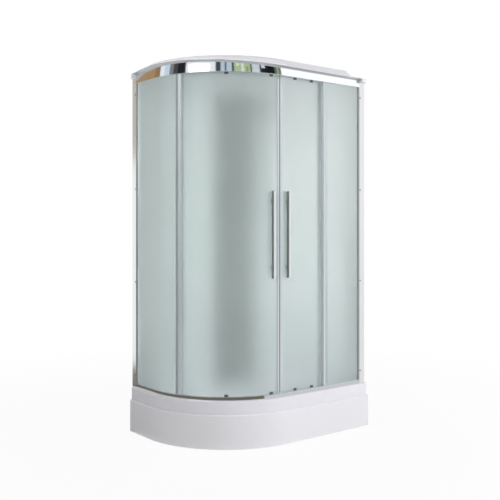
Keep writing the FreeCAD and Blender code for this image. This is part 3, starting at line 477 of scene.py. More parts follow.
def die_lines(tree, place, to_a_metre):
    """Lines that a die or a brush leaves: so many patches to a metre along each axis."""
    squeezed = add(tree, "ShaderNodeMapping", {"Scale": to_a_metre}, {"Vector": place})
    lines = add(tree, "ShaderNodeTexNoise", {"Scale": 1.0, "Detail": 2.0}, {"Vector": squeezed.outputs[0]})
    return lines.outputs[0]


def cast_acrylic():
    """Vacuum-formed acrylic sheet: deep gloss, with the soft waviness that forming leaves."""
    material, tree, shader, place = plain_finish("cast_acrylic_formed", "#eeecf2", 0.14, IOR=1.49)
    mottle(tree, shader, place, 0.06, ("#f1eff4", "#eae8f0"), (0.10, 0.18), (0.06, 0.0006))
    return material


def moulded_abs(name, codes):
    """Moulded ABS skirt or roof: satin gloss and a fine even texture from the tool."""
    material, tree, shader, place = plain_finish(name, codes[0], 0.24, IOR=1.53)
    mottle(tree, shader, place, 0.012, codes, (0.20, 0.28), (0.03, 0.0003))
    return material


def galvanised_steel():
    """Hot-dip galvanised tube: grey crystals of about 12 mm, each a little lighter or darker."""
    material, tree, shader, place = plain_finish("steel_galvanised", "#a2a7a9", 0.45, Metallic=1.0)
    cells = add(tree, "ShaderNodeTexVoronoi", {"Scale": 1 / 0.012}, {"Vector": place})
    grey = add(tree, "ShaderNodeSeparateColor", links={0: cells.outputs["Color"]})
    shaded(tree, shader, grey.outputs[0], codes=("#979c9e", "#b5babb"))
    shaded(tree, shader, grey.outputs[1], rough=(0.38, 0.55))
    return material


def moulded_polypropylene(name, codes, rough):
    """Moulded polypropylene: slightly waxy, with a fine spark-eroded texture of about 1.5 mm, drawn at 3 mm."""
    material, tree, shader, place = plain_finish(name, codes[0], rough, IOR=1.49)
    mottle(tree, shader, place, 0.003, codes, (rough - 0.06, rough + 0.06), (0.08, 0.0002))
    return material


def chrome_plate():
    """Chrome on polished brass: mirror bright, with faint polishing haze in patches of about 20 mm."""
    material, tree, shader, place = plain_finish("chrome_plated", "#dfe3e5", 0.06, Metallic=1.0)
    mottle(tree, shader, place, 0.02, None, (0.04, 0.10), (0.01, 0.0002))
    return material


def handle_plate():
    """Drawn bar with a polished, plated front and brushed sides: bright ahead, and painted shade that turns the
    faces seen from the side dark grey, with brush lines across the sides under 1 mm apart, drawn at about 3 mm."""
    material, tree, shader, place = plain_finish("bar_plated_sides_painted_shade", "#dcdfe0", 0.2, Metallic=1.0)
    facing = add(tree, "ShaderNodeSeparateXYZ", links={0: add(tree, "ShaderNodeTexCoord").outputs["Normal"]})
    # painted shade: faces that turn from the front towards the sides get a dark grey base colour instead of the
    # bright one
    away = add(tree, "ShaderNodeMapRange", {"From Min": -0.9, "From Max": -0.6}, {"Value": facing.outputs[1]})
    lines = die_lines(tree, place, (20.0, 20.0, 330.0))
    # the dark grey of the sides is painted shade; the brush lines in it are the bar's own texture
    side = add(tree, "ShaderNodeMix", {6: linear("#a9aeab"), 7: linear("#989d9a")}, {0: lines}, data_type="RGBA")
    shade = add(tree, "ShaderNodeMix", {6: linear("#e2e5e6")}, {0: away.outputs[0], 7: side.outputs[2]},
                data_type="RGBA")
    tree.links.new(shade.outputs[2], shader.inputs["Base Color"])
    shaded(tree, shader, away.outputs[0], rough=(0.12, 0.42))
    return material


def satin_chrome():
    """Pearl chrome on the arm and the rose: a soft grey sheen instead of a mirror, even behind frosted glass."""
    material, tree, shader, place = plain_finish("chrome_pearl", "#8f9495", 0.34, Metallic=1.0)
    mottle(tree, shader, place, 0.02, ("#949999", "#888d8e"), (0.30, 0.40), None)
    return material


def bright_rail():
    """Drawn aluminium, chemically brightened: mirror-like, with die lines along the draw, drawn at 4 mm."""
    material, tree, shader, place = plain_finish("aluminium_drawn_bright", "#e3e6e9", 0.07, Metallic=1.0)
    lines = die_lines(tree, place, (1.6, 1.6, 240.0))
    shaded(tree, shader, lines, rough=(0.05, 0.11), bump=(0.02, 0.0003))
    return material


# Upright die lines, 330 to a metre, which is about 3 mm apart
UPRIGHT = (330.0, 330.0, 0.6)


def satin_post():
    """Drawn aluminium with a silver-white coat: pale and nearly matt, with upright die lines."""
    material, tree, shader, place = plain_finish("aluminium_coated_satin", "#dcdee0", 0.6, Metallic=0.1)
    lines = die_lines(tree, place, UPRIGHT)
    shaded(tree, shader, lines, codes=("#e2e3e5", "#d7d9db"), rough=(0.50, 0.62))
    return material


def polished_post():
    """Drawn aluminium, polished: mirrors the white studio, with upright die lines."""
    material, tree, shader, place = plain_finish("aluminium_drawn_polished", "#f0f1f2", 0.16, Metallic=0.9)
    shaded(tree, shader, die_lines(tree, place, UPRIGHT), rough=(0.12, 0.22))
    return material


def black_steel():
    """Blackened steel screws: dark, oily and slightly uneven."""
    material, tree, shader, place = plain_finish("steel_blackened", "#34373a", 0.38, Metallic=0.9)
    mottle(tree, shader, place, 0.004, ("#2b2e30", "#45494c"), (0.30, 0.48), None)
    return material


def etched_glass():
    """Toughened glass, acid etched on its inner face: what is behind shows as a soft dark shape, and the
    pane itself is milky with a grey-green cast. The etching's grain of under 0.1 mm is drawn at 2.5 mm."""
    material, tree, shader, place = plain_finish("glass_acid_etched", "#e6efee", 0.36, IOR=1.45,
                                                 Transmission_Weight=0.82)
    cloud = add(tree, "ShaderNodeTexNoise", {"Scale": 1 / 0.35, "Detail": 2.0}, {"Vector": place})
    shaded(tree, shader, cloud.outputs[0], codes=("#eaf1f0", "#e2ecea"))
    grain = add(tree, "ShaderNodeTexNoise", {"Scale": 1 / 0.0025, "Detail": 2.0}, {"Vector": place})
    shaded(tree, shader, grain.outputs[0], bump=(0.05, 0.0002))
    return material


def gasket_rubber():
    """Extruded EPDM rubber: mid grey and matt, with a faint bloom in patches of about 15 mm."""
    material, tree, shader, place = plain_finish("epdm_extruded", "#8a8e8e", 0.62)
    mottle(tree, shader, place, 0.015, ("#848888", "#949898"), (0.55, 0.70), (0.05, 0.0002))
    return material


def soft_vinyl():
    """Clear soft PVC seal, gone milky: a bluish cast, a smooth extruded skin, and a dark strip of about 5 mm, the
    magnet inside together with painted shade of the gap between the seals, that shows as one thin line where the
    doors meet."""
    milky, magnet_shade_middle = "#e4ebee", AX - 0.0028
    material, tree, shader, place = plain_finish("pvc_soft_clear", milky, 0.5, IOR=1.2, Transmission_Weight=0.22)
    mottle(tree, shader, place, 0.03, None, (0.45, 0.55), None)
    # dark strip where the doors meet: partly the magnet inside the seal, partly painted shade of the gap between the
    # seals
    across = add(tree, "ShaderNodeSeparateXYZ", links={0: place})
    off = add(tree, "ShaderNodeMath", {1: magnet_shade_middle}, {0: across.outputs[0]}, operation="SUBTRACT")
    off = add(tree, "ShaderNodeMath", links={0: off.outputs[0]}, operation="ABSOLUTE")
    beside = add(tree, "ShaderNodeMapRange", {"From Min": 0.0022, "From Max": 0.0028}, {"Value": off.outputs[0]})
    shaded(tree, shader, beside.outputs[0], codes=("#20252d", milky))
    return material


def enamelled_wall():
    """Back-painted wall glass: even white under a smooth glassy face, with a slight roller wave."""
    material, tree, shader, place = plain_finish("wall_glass_back_painted", "#edf0f0", 0.12, IOR=1.5)
    mottle(tree, shader, place, 0.25, ("#eff2f2", "#e8ecec"), (0.09, 0.16), (0.03, 0.001))
    return material


def column_plastic():
    """Moulded ABS column in dark grey: gloss, with the fine flow marks of a large moulding."""
    material, tree, shader, place = plain_finish("abs_moulded_dark", "#6a7371", 0.22, IOR=1.53)
    mottle(tree, shader, place, 0.08, ("#6f7876", "#646d6b"), (0.17, 0.28), (0.03, 0.0005))
    return material


def turned_brass():
    """Turned brass: warm metal with fine tool marks, drawn at about 1.5 mm."""
    material, tree, shader, place = plain_finish("brass_turned", "#b99a5f", 0.28, Metallic=1.0)
    mottle(tree, shader, place, 0.0015, ("#c0a167", "#ae8e55"), (0.22, 0.36), None)
    return material


ACRYLIC = cast_acrylic()
ABS = moulded_abs("abs_moulded_skirt", ("#f1f1f4", "#ecebf0"))
ROOF = moulded_abs("abs_formed_roof", ("#e6e6ea", "#e0e0e5"))
STEEL = galvanised_steel()
FOOT = moulded_polypropylene("polypropylene_black", ("#232526", "#2e3031"), 0.5)
PIPE = moulded_polypropylene("polypropylene_grey", ("#d3d4d2", "#c6c8c6"), 0.4)
CHROME = chrome_plate()
HANDLE = handle_plate()
PEARL = satin_chrome()
RAIL = bright_rail()
POST = satin_post()
POLISHED = polished_post()
SCREW = black_steel()
FROSTED = etched_glass()
GASKET = gasket_rubber()
VINYL = soft_vinyl()
ROLLER = moulded_polypropylene("nylon_moulded_dark", ("#606466", "#6d7173"), 0.42)
WHEEL = moulded_polypropylene("acetal_moulded_white", ("#e4e5e3", "#d9dad8"), 0.32)
WALL = enamelled_wall()
COLUMN = column_plastic()
BRASS = turned_brass()
SHELF = moulded_polypropylene("abs_shelf_grey", ("#8d9593", "#838b89"), 0.3)

# Solids that keep their form: slot, finish, width by which their corners are rounded, and their nodes
EASED = (
    ("post_aluminium", POST, 0.0012, ("right_wall_post", "corner_post")),
    ("post_aluminium", POLISHED, 0.0012, ("left_wall_post",)),
    ("gasket_rubber", GASKET, 0.0006, ("left_gasket", "right_gasket")),
    ("seal_vinyl", VINYL, 0.0004, ("left_fixed_seal", "right_fixed_seal", "left_door_edge_seal",
                                   "right_door_edge_seal", "left_door_magnet_seal", "right_door_magnet_seal")),
    ("frosted_glass", FROSTED, 0.0008, ("right_fixed_glass", "right_door_glass")),
    ("wall_panel", WALL, 0.0008, ("back_panel_left", "back_panel_right", "side_panel")),
    ("frame_steel", STEEL, 0.0020, ("tray_frame",)),
    ("frame_steel", STEEL, 0.0008, ("foot_lock_nuts",)),
    ("pipe_plastic", PIPE, 0.0010, ("drain_trap",)),
    ("chrome", CHROME, 0.0008, ("drain_strainer", "mixer_cap", "mixer_lever", "diverter_knob")),
    ("chrome", PEARL, 0.0030, ("shower_arm",)),
    ("roller_plastic", ROLLER, 0.0006, ("left_door_hangers", "right_door_hangers", "left_door_guides",
                                        "right_door_guides")),
    ("column_plastic", COLUMN, 0.0030, ("shower_column",)),
    ("shelf_plastic", SHELF, 0.0015, ("shelf",)),
    ("inlet_brass", BRASS, 0.0006, ("water_inlets",)),
)


def ease_solids():
    for slot, finish, width, nodes in EASED:
        for node in nodes:
            body = body_of(frame["nodes"][node])[0]
            settle(eased_copy(node, width), body, finish, node)


# Main pieces

def make_tray():
    """Thin formed shell: rolled rim, ledge, bowl with soft lip and foot, and the drain's hole."""
    rim_foot, rim_top = high_apron[2], high_tray[2]
    set_back, rim_round, corner, shell = 0.010, 0.007, 0.012, 0.005
    floor_top, draft, lip, foot = 0.070, 0.042, 0.010, 0.030
    bowl_front, bowl_wall, bowl_corner = 0.096, 0.070, 0.090
    hole, hole_round = 0.0455, 0.0025
    steep = math.pi / 2 - math.atan2(draft, rim_top - floor_top)

    def bowl(inset, z):
        return plan_ring(bowl_front + inset, bowl_wall + inset, bowl_corner - max(inset, 0) * 0.5, z)

    def drain(radius, z, ring):
        x, y = DRAIN_PLACE
        turns = [math.atan2(p.y - y, p.x - x) for p in ring]
        return [Vector((x + radius * math.cos(turn), y + radius * math.sin(turn), z)) for turn in turns]

    rings = [plan_ring(set_back, 0.0, corner, rim_foot, LEFT_ROUND)]
    for k in range(7):
        turn = math.radians(90 * k / 6)
        inset = rim_round * (1 - math.cos(turn))
        rings.append(plan_ring(set_back + inset, inset, corner, rim_top - rim_round * (1 - math.sin(turn)),
                               LEFT_ROUND - inset))
    for k in range(7):
        turn = steep * k / 6
        rings.append(bowl(lip * (math.sin(turn) - 1), rim_top - lip * (1 - math.cos(turn))))
    for k in range(9):
        turn = steep * k / 8
        inset = draft - 0.002 - foot * 0.12 + foot * 0.9 * (1 - math.cos(turn))
        rings.append(bowl(inset, floor_top + foot * (1 - math.sin(turn))))
    for radius, z in ((hole + hole_round, floor_top), (hole, floor_top - 0.001), (hole, floor_top - shell)):
        rings.append(drain(radius, z, rings[-1]))
    for inset, z in ((0.052, floor_top - shell), (0.034, floor_top + 0.012), (-0.005, rim_top - 0.006)):
        rings.append(bowl(inset, z))
    for z in (rim_top - shell, rim_foot):
        rings.append(plan_ring(set_back + shell, shell, corner - shell, z, LEFT_ROUND - shell))
    settle(ring_shell("tray_shell", rings), "cabin", ACRYLIC, "tray")


def make_apron(tree):
    """Bent skirt with a softly rounded top edge and a ledge under the tray's rim."""
    foot, top = low_apron[2], high_apron[2]
    skin, ledge = 0.004, 0.014
    half = skin / 2
    section = eased([(BEND, foot, 0.0015), (BEND, top, 0.008), (BEND - ledge, top, 0.0008),
                     (BEND - ledge, top - skin, 0.0008), (BEND - skin, top - skin, 0.003),
                     (BEND - skin, foot, 0.0015)], 0.001, 5)
    piece = carried("apron_skirt", tree, section, BEND - half, ABS, right_end=high_apron[0],
                    left_end=high_apron[1] - half, left_round=LEFT_ROUND - half)
    settle(piece, "cabin", ABS, "apron")


def make_rails(tree):
    """Drawn sections: the top rail with its glass slot and wheel channel, and the low rail on the tray."""
    ends = {"right_end": high_rail[0], "left_end": high_rail[1]}
    hook = RAIL_INNER + RAIL_LIP
    slot_outer = RAIL_OUTER - RAIL_WALL
    foot, top = low_rail[2], high_rail[2]
    floor, roof = top - CHANNEL_DROP, top - RAIL_WALL
    high_hook, low_hook = roof - 0.006, floor + 0.004
    section = eased([
        (RAIL_OUTER, foot, 0.0022), (RAIL_OUTER, top, 0.0012), (RAIL_INNER, top, 0.002), (RAIL_INNER, high_hook),
        (hook, high_hook), (hook, roof), (LEG_INNER, roof), (LEG_INNER, floor), (hook, floor), (hook, low_hook),
        (RAIL_INNER, low_hook), (RAIL_INNER, floor - RAIL_WALL, 0.0015), (LEG_INNER, floor - RAIL_WALL),
        (LEG_INNER, foot), (SLOT_INNER, foot), (SLOT_INNER, roof), (slot_outer, roof), (slot_outer, foot)], 0.0006)
    piece = carried("top_rail_drawn", tree, section, RAIL_SPINE, RAIL, **ends)
    lift_over_bend(piece, top - RISE_SKIN, top, top + RISE_HEAD)
    settle(piece, "cabin", RAIL, "top_rail")
    foot, top = low_sill[2], high_sill[2]
    floor = foot + RAIL_WALL
    low_hook = floor + 0.0025
    section = eased([
        (RAIL_OUTER, foot, 0.0008), (RAIL_OUTER, top, 0.0008), (slot_outer, top), (slot_outer, floor),
        (SLOT_INNER, floor), (SLOT_INNER, top), (LEG_INNER, top), (LEG_INNER, floor), (hook, floor),
        (hook, low_hook), (RAIL_INNER, low_hook), (RAIL_INNER, foot)], 0.0006)
    piece = carried("bottom_rail_drawn", tree, section, RAIL_SPINE, RAIL, **ends)
    settle(flat_broad(piece), "cabin", RAIL, "bottom_rail")


def make_roof():
    """Formed plate with its corners rounded, a wider round at its left end and a lip that rises over the bend."""
    rail_top = high_rail[2]
    lap, lip = 0.002, 0.004
    piece = eased_copy("roof", 0.004, round_left_end)
    lift_over_bend(piece, rail_top - lap, rail_top + lip, rail_top + RISE_HEAD)
    settle(piece, "cabin", ROOF, "roof")


def pane(outer, low, high):
    """Section of a bent pane with polished edges."""
    inner = outer - GLASS
    return eased([(inner, low[2]), (outer, low[2]), (outer, high[2]), (inner, high[2])], 0.001, 3)


def make_bent_glass(tree):
    low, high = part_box("left_fixed_glass")
    piece = carried("left_fixed_pane", tree, pane(FIXED_OUTER, low, high), FIXED_OUTER, FROSTED,
                    start_turn=FIXED_ANGLE, left_end=high[1])
    settle(piece, "cabin", FROSTED, "left_fixed_glass")
    low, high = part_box("left_door_glass")
    piece = carried("left_door_pane", tree, pane(DOOR_OUTER, low, high), DOOR_OUTER, FROSTED,
                    start_turn=math.degrees(MAGNET_ROOM / DOOR_OUTER), end_turn=DOOR_ANGLE)
    settle(piece, "left_door", FROSTED, "left_door_glass")


def handle_places():
    """Moves a piece drawn where the straight front begins to each door's handle."""
    turn = Matrix.Rotation(-HANDLE_PLACE / DOOR_OUTER, 4, "Z")
    centre = Matrix.Translation((AX, AY, 0))
    return {"left": centre @ turn @ centre.inverted(), "right": Matrix.Translation((HANDLE_PLACE, 0, 0))}


def handle_bar(low, high):
    """Straight bar with rounded edges and softly broken ends."""
    half_width, depth, edge = 0.0075, 0.024, 0.0035
    front = low[1]
    rings = []
    for inset, z in ((0.0022, low[2]), (0.0007, low[2] + 0.0006), (0, low[2] + 0.0020),
                     (0, high[2] - 0.0020), (0.0007, high[2] - 0.0006), (0.0022, high[2])):
        x, y0, y1 = half_width - inset, front + inset, front + depth - inset
        outline = eased([(AX - x, y0), (AX + x, y0), (AX + x, y1), (AX - x, y1)], edge - inset, 5)
        rings.append([Vector((p.x, p.y, z)) for p in outline])
    return ring_shell("bar", rings, closed=False)


def make_handles():
    """Bars on two short posts, and round caps on the inside of the glass."""
    low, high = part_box("right_door_handle")
    bolt_inset, post, bolt, cap, play = 0.060, 0.0058, 0.0037, 0.010, 0.0002
    bolts = (low[2] + bolt_inset, high[2] - bolt_inset)
    glass_face = AY - DOOR_OUTER
    reach = glass_face - low[1] - 0.023
    post_profile = eased([(0, 0, 0), (post, 0), (post, reach), (0, reach, 0)], 0.0006, 2)
    cap_profile = eased([(0, -0.0055, 0), (bolt, -0.0055, 0), (bolt, play, 0), (cap, play), (cap, 0.0072, 0.003),
                         (0, 0.0072, 0)], 0.0004, 4)
    for side, place in handle_places().items():
        parts = [handle_bar(low, high)]
        parts += [turned("post", post_profile, (AX, glass_face - play, z), (0, -1, 0), 32) for z in bolts]
        piece = flat_broad(moved(merged(side + "_handle_bar", parts), place))
        settle(piece, side + "_door", HANDLE, side + "_door_handle")
        caps = [turned("cap", cap_profile, (AX, glass_face + GLASS, z), (0, 1, 0), 36) for z in bolts]
        piece = moved(merged(side + "_handle_caps", caps), place)
        settle(piece, side + "_door", CHROME, side + "_handle_bolts")


def make_wheels():
    """Ball-bearing wheels with a rounded tread."""
    bore, width, sink = 0.00306, 0.007, 0.0006
    names = ["%s_%s_wheel_%s" % (side, level, end) for side in ("left", "right") for level in ("top", "bottom")
             for end in ("front", "rear")]
    for node in names:
        low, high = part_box(node)
        centre = Vector(centre_of(low, high))
        out = Vector((0, -1, 0))
        if node.startswith("left"):
            out = Vector((centre.x - AX, centre.y - AY, 0)).normalized()
        radius = (high[2] - low[2]) / 2
        bearing, tyre = radius * 0.55, radius * 0.78
        profile = eased([(bore, 0), (bearing, 0), (bearing, sink), (tyre, sink), (tyre, 0), (radius, 0, 0.0018),
                         (radius, width, 0.0018), (bore, width)], 0.0002, 3)
        piece = turned(node + "_turned", profile, centre - out * width / 2, out, 40)
        settle(piece, node, WHEEL, node)


def make_screws(tree):
    """Dark screws with a domed head and a socket on the outer faces of the front posts."""
    low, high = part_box("post_screws")
    radius, height = 0.004, 0.002
    head = [(0, 0), (0.0039, 0), (0.0039, 0.0005), (0.0034, 0.0014), (0.0024, 0.0019), (0.0017, 0.0020),
            (0.0015, 0.0008), (0, 0.0008)]
    first, last = low[2] + radius, high[2] - radius
    span = SCREW_SHARES[-1] - SCREW_SHARES[0]
    heights = [first + (share - SCREW_SHARES[0]) / span * (last - first) for share in SCREW_SHARES]
    rows = []
    for name, axis, x, y in (("right", (0, -1, 0), high[0] - radius, low[1] + height),
                             ("left", (-1, 0, 0), low[0] + height, high[1] - radius)):
        shape = turned("screw_shape", head, (0, 0, 0), axis, 24)
        rows.append(repeated(name, tree, shape, [(x, y, z) for z in heights], SCREW))
    settle(merged("post_screw_heads", rows), "cabin", SCREW, "post_screws")


def make_feet(tree):
    """Levelling feet: a moulded pad on a threaded rod; the thread's pitch of 1.5 mm is drawn as rings."""
    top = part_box("tray_feet")[1][2]
    profile = [(0, 0), (0.0245, 0), (0.026, 0.0015), (0.026, 0.0060), (0.0248, 0.0070), (0.0110, 0.0142),
               (0.0095, 0.015), (0.0050, 0.015)]
    profile += thread(0.0158, top - 0.002, 0.0015, 0.0050, 0.0043)
    profile += [(0.0045, top - 0.0008), (0.0038, top), (0, top)]
    shape = turned("foot_shape", profile, (0, 0, 0), (0, 0, 1), 28)
    piece = repeated("levelling_feet", tree, shape, FOOT_PLACES, FOOT)
    settle(piece, "cabin", FOOT, "tray_feet")


# Turned fittings

def make_mixer():
    """Mixer housing: a plate on the column, a round body and the bore of the turning cap."""
    low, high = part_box("mixer_body")
    x, _, z = centre_of(low, high)
    reach = high[1] - low[1]
    plate, body, bore, seat = 0.036, 0.023, 0.0082, reach - 0.0203
    profile = eased([(0, 0, 0), (plate, 0), (plate, 0.004, 0.002), (body, 0.0075, 0.003), (body, reach, 0.0012),
                     (bore, reach), (bore, seat), (0, seat, 0)], 0.0006, 4)
    piece = turned("mixer_housing", profile, (x, high[1], z), (0, -1, 0), 64)
    settle(piece, "cabin", CHROME, "mixer_body")


def make_outlet():
    """Hose outlet: a domed plate, a neck and a thread with a pitch of 1.8 mm, drawn as rings."""
    low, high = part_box("hose_outlet")
    x, _, z = centre_of(low, high)
    reach = high[1] - low[1]
    bore = 0.0061
    profile = [(bore, 0), (0.0235, 0), (0.024, 0.0006), (0.024, 0.0028), (0.0228, 0.0042), (0.0140, 0.0062),
               (0.013, 0.0075), (0.013, 0.0172), (0.0122, 0.018)]
    profile += thread(0.0188, reach - 0.0012, 0.0018, 0.0101, 0.0093)
    profile += [(0.0090, reach), (0.0066, reach), (bore, reach - 0.0006)]
    piece = turned("hose_outlet_nose", profile, (x, high[1], z), (0, -1, 0), 48)
    settle(piece, "cabin", CHROME, "hose_outlet")


def make_drain():
    """Drain flange: a bevelled ring with a seat for the strainer and a spigot below."""
    low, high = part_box("drain_flange")
    x, y, _ = centre_of(low, high)
    foot, top = low[2], high[2]
    floor, seat = top - 0.003, top - 0.005
    recess, throat, spigot = 0.0385, 0.034, 0.0447
    profile = eased([(0.056, floor), (0.0535, top, 0.002), (recess, top, 0.0012), (recess, seat), (throat, seat),
                     (throat, foot), (spigot, foot), (spigot, floor)], 0.0004, 4)
    settle(turned("drain_ring", profile, (x, y, 0), (0, 0, 1), 72), "cabin", CHROME, "drain_flange")


def make_rose(tree):
    """Overhead rose: a dish with a hub above and rings of soft nozzles in its sunk face."""
    low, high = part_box("overhead_rose")
    x, y, _ = centre_of(low, high)
    bottom, top = low[2], high[2]
    hub, rim, inside, face = 0.018, 0.1, 0.096, bottom + 0.0022
    profile = eased([(0, top, 0), (hub, top, 0.002), (hub, top - 0.016, 0.006), (rim, bottom + 0.006, 0.003),
                     (rim, bottom, 0.002), (inside, bottom, 0.0008), (inside, face), (0, face, 0)], 0.0006, 4)
    dish = turned("dish", profile, (x, y, 0), (0, 0, 1), 72)
    nub = turned("nub_shape", [(0, 0.0001), (0.0021, 0.0001), (0.0017, -0.0016), (0.0008, -0.0018),
                               (0.0008, -0.0010), (0, -0.0010)], (0, 0, 0), (0, 0, 1), 10)
    spots = []
    for ring, count in ((0.018, 6), (0.037, 12), (0.056, 18), (0.074, 24), (0.090, 30)):
        turns = [math.tau * k / count for k in range(count)]
        spots += [(x + ring * math.cos(turn), y + ring * math.sin(turn), face) for turn in turns]
    nozzles = repeated("nozzles", tree, nub, spots, PEARL)
    settle(merged("overhead_rose_dish", [dish, nozzles]), "cabin", PEARL, "overhead_rose")


# Stage, light and camera

# Cards that the bright rail mirrors: turns from the front, reach, foot, head and colour. From the left a grey
# wall, warm wood, a pale blue gap and a dark doorway, then a window with frames and a garden behind it
CARDS = (
    (146, 160, 5.0, 2.0, 5.0, "#cfcfd0"),
    (141, 146, 5.0, 2.0, 5.0, "#b0936b"),
    (135, 141, 5.0, 2.0, 5.0, "#a5814f"),
    (130, 135, 5.0, 2.0, 5.0, "#8f806c"),
    (114.4, 122, 5.0, 2.0, 5.0, "#cfe6f8"),
    (107, 113.5, 5.0, 2.0, 5.0, "#8a8b8d"),
    (100, 107, 5.0, 2.0, 5.0, "#4b4c4e"),
    (89, 100, 5.0, 2.0, 5.0, "#232426"),
    (45, 51, 5.0, 2.0, 5.0, "#3a3f42"),
    (31.5, 45, 5.0, 2.0, 5.0, "#c7d8e4"),
    (38, 40, 4.9, 2.0, 5.0, "#4a5254"),
    (29, 31.5, 4.9, 2.0, 5.0, "#2c312f"),
    (9, 29, 5.0, 2.0, 5.0, "#b9cc9f"),
    (17, 20, 4.9, 2.0, 5.0, "#eef3ea"),
    (23, 26, 4.9, 3.0, 5.0, "#e9f2df"),
    (12, 14, 4.9, 2.0, 3.0, "#7f9070"),
    (7, 9, 4.9, 2.0, 5.0, "#353b3c"),
    (-3, 7, 5.0, 2.0, 5.0, "#dbe4e8"),
    (-13, -3, 5.0, 2.0, 5.0, "#1c1f22"),
    (-23, -13, 5.0, 2.0, 5.0, "#191c1e"),
    (-10, -5, 4.9, 3.0, 5.0, "#e2ebf0"),
    (-33, -23, 5.0, 2.0, 5.0, "#66745f"),
    (-29, -26.5, 4.9, 2.0, 5.0, "#a9bb98"),
    (21, 45, 4.8, 2.965, 2.985, "#4c5557"),
    (-3, 21, 4.8, 2.965, 2.985, "#5c6a5c"),
    (-33, -3, 4.8, 2.965, 2.975, "#30363a"),
)

# Floor and the mats on it: half the floor's width, and the mats' height, reach from the bend's axis and step
FLOOR_HALF = 14
MAT_HEIGHT = 0.002
MAT_REACH = (0.6, 2.6)
MAT_STEP = 6

# Camera fitted to the photo's lines: picture size, focal length and row of the horizon in pixels, place and turn
PICTURE = 500
FOCAL = 769.8
HORIZON = 225.7
CAMERA_PLACE = (-2.849, -3.619, 1.213)
CAMERA_TURN = -38.256
SENSOR = 36.0


def emptied(holder):
    """Node tree of a material or a world, without its first nodes."""
    holder.use_nodes = True
    holder.node_tree.nodes.clear()
    return holder.node_tree


def glow(name, code, strength):
    """Material that shines with one colour."""
    material = bpy.data.materials.new(name)
    tree = emptied(material)
    light = add(tree, "ShaderNodeEmission", {"Color": linear(code), "Strength": strength})
    add(tree, "ShaderNodeOutputMaterial", links={"Surface": light.outputs[0]})
    return material


def only_mirrored(made):
    made.visible_camera = False
    made.visible_diffuse = False
    made.visible_transmission = False
    made.visible_shadow = False


def from_axis(turn, reach, z):
    """Point at a turn from the front and a reach from the bend's axis."""
    way = Vector((-math.sin(math.radians(turn)), -math.cos(math.radians(turn)), 0))
    return Vector((AX, AY, z)) + way * reach


def card(name, start, end, reach, foot, head, code, strength=1.0):
    """Upright card round the cabin between two turns from the front, seen only in bright metal."""
    points = [from_axis(turn, reach, z) for turn in (start, end) for z in (foot, head)]
    mesh = bpy.data.meshes.new(name)
    mesh.from_pydata(points, [], [(0, 2, 3, 1)])
    mesh.materials.append(glow(name + "_paper", code, strength))
    only_mirrored(new_object(name, mesh))


def floor_mat(name, start, end, code):
    """Mat on the floor between two turns from the front, seen only in the low rail and in gloss."""
    bm = bmesh.new()
    rows = [[bm.verts.new(from_axis(turn, reach, MAT_HEIGHT)) for reach in MAT_REACH]
            for turn in range(start, end + 1, MAT_STEP)]
    for near, far in zip(rows, rows[1:]):
        bm.faces.new((near[0], near[1], far[1], far[0]))
    made = from_bmesh(name, bm)
    made.data.materials.append(glow(name + "_weave", code, 1.0))
    only_mirrored(made)


def seen_rays(tree):
    """One for rays from the camera, from gloss and through glass, and nought for the rays that light things."""
    rays = add(tree, "ShaderNodeLightPath").outputs
    seen = rays["Is Camera Ray"]
    for kind in ("Is Glossy Ray", "Is Transmission Ray"):
        seen = add(tree, "ShaderNodeMath", links={0: seen, 1: rays[kind]}, operation="MAXIMUM").outputs[0]
    return seen


def make_stage():
    """Pale floor that looks white and only a little darker near the cabin, with the mats and cards round it."""
    mesh = bpy.data.meshes.new("studio_floor")
    corners = [(x * FLOOR_HALF, y * FLOOR_HALF, 0) for x, y in ((-1, -1), (1, -1), (1, 1), (-1, 1))]
    mesh.from_pydata(corners, [], [(0, 1, 2, 3)])
    material = bpy.data.materials.new("studio_floor_paint")
    tree = emptied(material)
    far = add(tree, "ShaderNodeVectorMath", links={0: add(tree, "ShaderNodeTexCoord").outputs["Object"]},
              operation="LENGTH")
    fade = add(tree, "ShaderNodeMapRange", {"From Min": 0.9, "From Max": 3.5, "To Min": 0.93, "To Max": 1.0},
               {"Value": far.outputs["Value"]})
    share = add(tree, "ShaderNodeMath", links={0: seen_rays(tree), 1: fade.outputs[0]}, operation="MULTIPLY")
    paint = add(tree, "ShaderNodeBsdfDiffuse", {"Color": linear("#f4f4f4")})
    light = add(tree, "ShaderNodeEmission", {"Strength": 1.0})
    both = add(tree, "ShaderNodeMixShader", links={0: share.outputs[0], 1: paint.outputs[0], 2: light.outputs[0]})
    add(tree, "ShaderNodeOutputMaterial", links={"Surface": both.outputs[0]})
    mesh.materials.append(material)
    new_object("studio_floor", mesh)
    floor_mat("brown_mat", -4, 152, "#706c60")
    floor_mat("grey_mat", -64, -4, "#dadbdd")
    for k, row in enumerate(CARDS):
        card("card_%d" % k, *row)
    card("lit_wall", -75, -33, 5.0, 2.0, 5.0, "#ffffff", 1.3)


def make_world():
    """White surroundings that light the cabin at less than half of what is seen of them."""
    world = bpy.data.worlds.new("studio")
    bpy.context.scene.world = world
    tree = emptied(world)
    strength = add(tree, "ShaderNodeMapRange", {"To Min": 0.45, "To Max": 1.0}, {"Value": seen_rays(tree)})
    light = add(tree, "ShaderNodeBackground", {"Color": (1, 1, 1, 1)}, {"Strength": strength.outputs[0]})
    add(tree, "ShaderNodeOutputWorld", links={"Surface": light.outputs[0]})


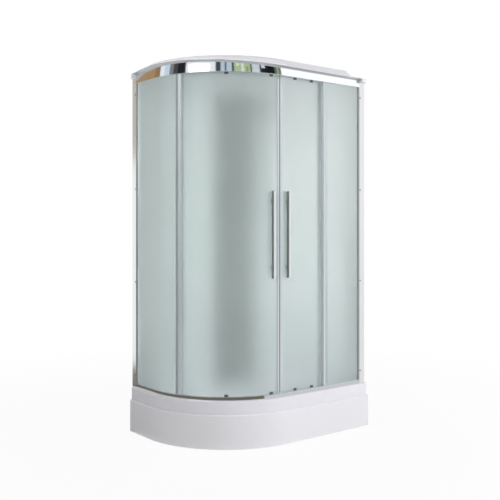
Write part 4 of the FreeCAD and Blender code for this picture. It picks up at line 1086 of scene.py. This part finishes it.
def soft_box(name, spot, target, size, power, hidden=False, mirrored=False, spread=180):
    """Soft box of (width, height): a mirrored one shows in gloss, and a hidden one doesn't shine through glass."""
    lamp = bpy.data.lights.new(name, "AREA")
    lamp.shape = "RECTANGLE"
    lamp.size, lamp.size_y = size
    lamp.energy = power
    lamp.spread = math.radians(spread)
    made = new_object(name, lamp)
    made.location = spot
    made.rotation_euler = (Vector(target) - Vector(spot)).to_track_quat("-Z", "Y").to_euler()
    made.visible_transmission = not hidden
    made.visible_glossy = mirrored


def make_lamps():
    """Key and fill from the front, a soft glow inside the cabin, and a little light on the roof and the ledge."""
    soft_box("key", (3.2, -4.2, 1.9), (0, 0, 1.1), (2.6, 2.6), 138)
    soft_box("fill", (-5.0, -1.5, 2.2), (0, 0, 1.0), (2.4, 2.4), 20, mirrored=True)
    soft_box("inside", (0.14, -0.26, 1.40), (0.25, 1.0, 1.45), (0.6, 1.3), 2.8, hidden=True, spread=162)
    soft_box("inside_low", (0.20, -0.26, 0.62), (0.26, 1.0, 0.70), (0.6, 0.6), 1.2, hidden=True, spread=162)
    soft_box("inside_floor", (-0.05, -0.02, 0.75), (-0.05, 0.0, 0.10), (0.6, 0.4), 1.0, hidden=True, spread=100)
    soft_box("roof", (-2.7, -1.1, 2.8), (-0.50, 0.05, 2.30), (0.9, 0.5), 3.6, hidden=True, spread=60)
    soft_box("ledge", (-0.75, -1.15, 1.7), (-0.45, -0.40, 0.20), (0.9, 0.3), 0.32, hidden=True, spread=40)


def make_camera():
    lens = bpy.data.cameras.new("photo_camera")
    lens.sensor_width = SENSOR
    lens.lens = FOCAL / PICTURE * SENSOR
    lens.shift_y = (HORIZON - PICTURE / 2) / PICTURE
    made = new_object("photo_camera", lens)
    made.location = CAMERA_PLACE
    made.rotation_euler = (math.radians(90), 0, math.radians(CAMERA_TURN))
    bpy.context.scene.camera = made


def main():
    along = carry_tree()
    make_tray()
    make_apron(along)
    make_rails(along)
    make_roof()
    make_bent_glass(along)
    points = repeat_tree()
    make_handles()
    make_wheels()
    make_screws(points)
    make_feet(points)
    make_mixer()
    make_outlet()
    make_drain()
    make_rose(points)
    ease_solids()
    make_stage()
    make_world()
    make_lamps()
    make_camera()
    bpy.context.scene.view_settings.view_transform = "Standard"


main()
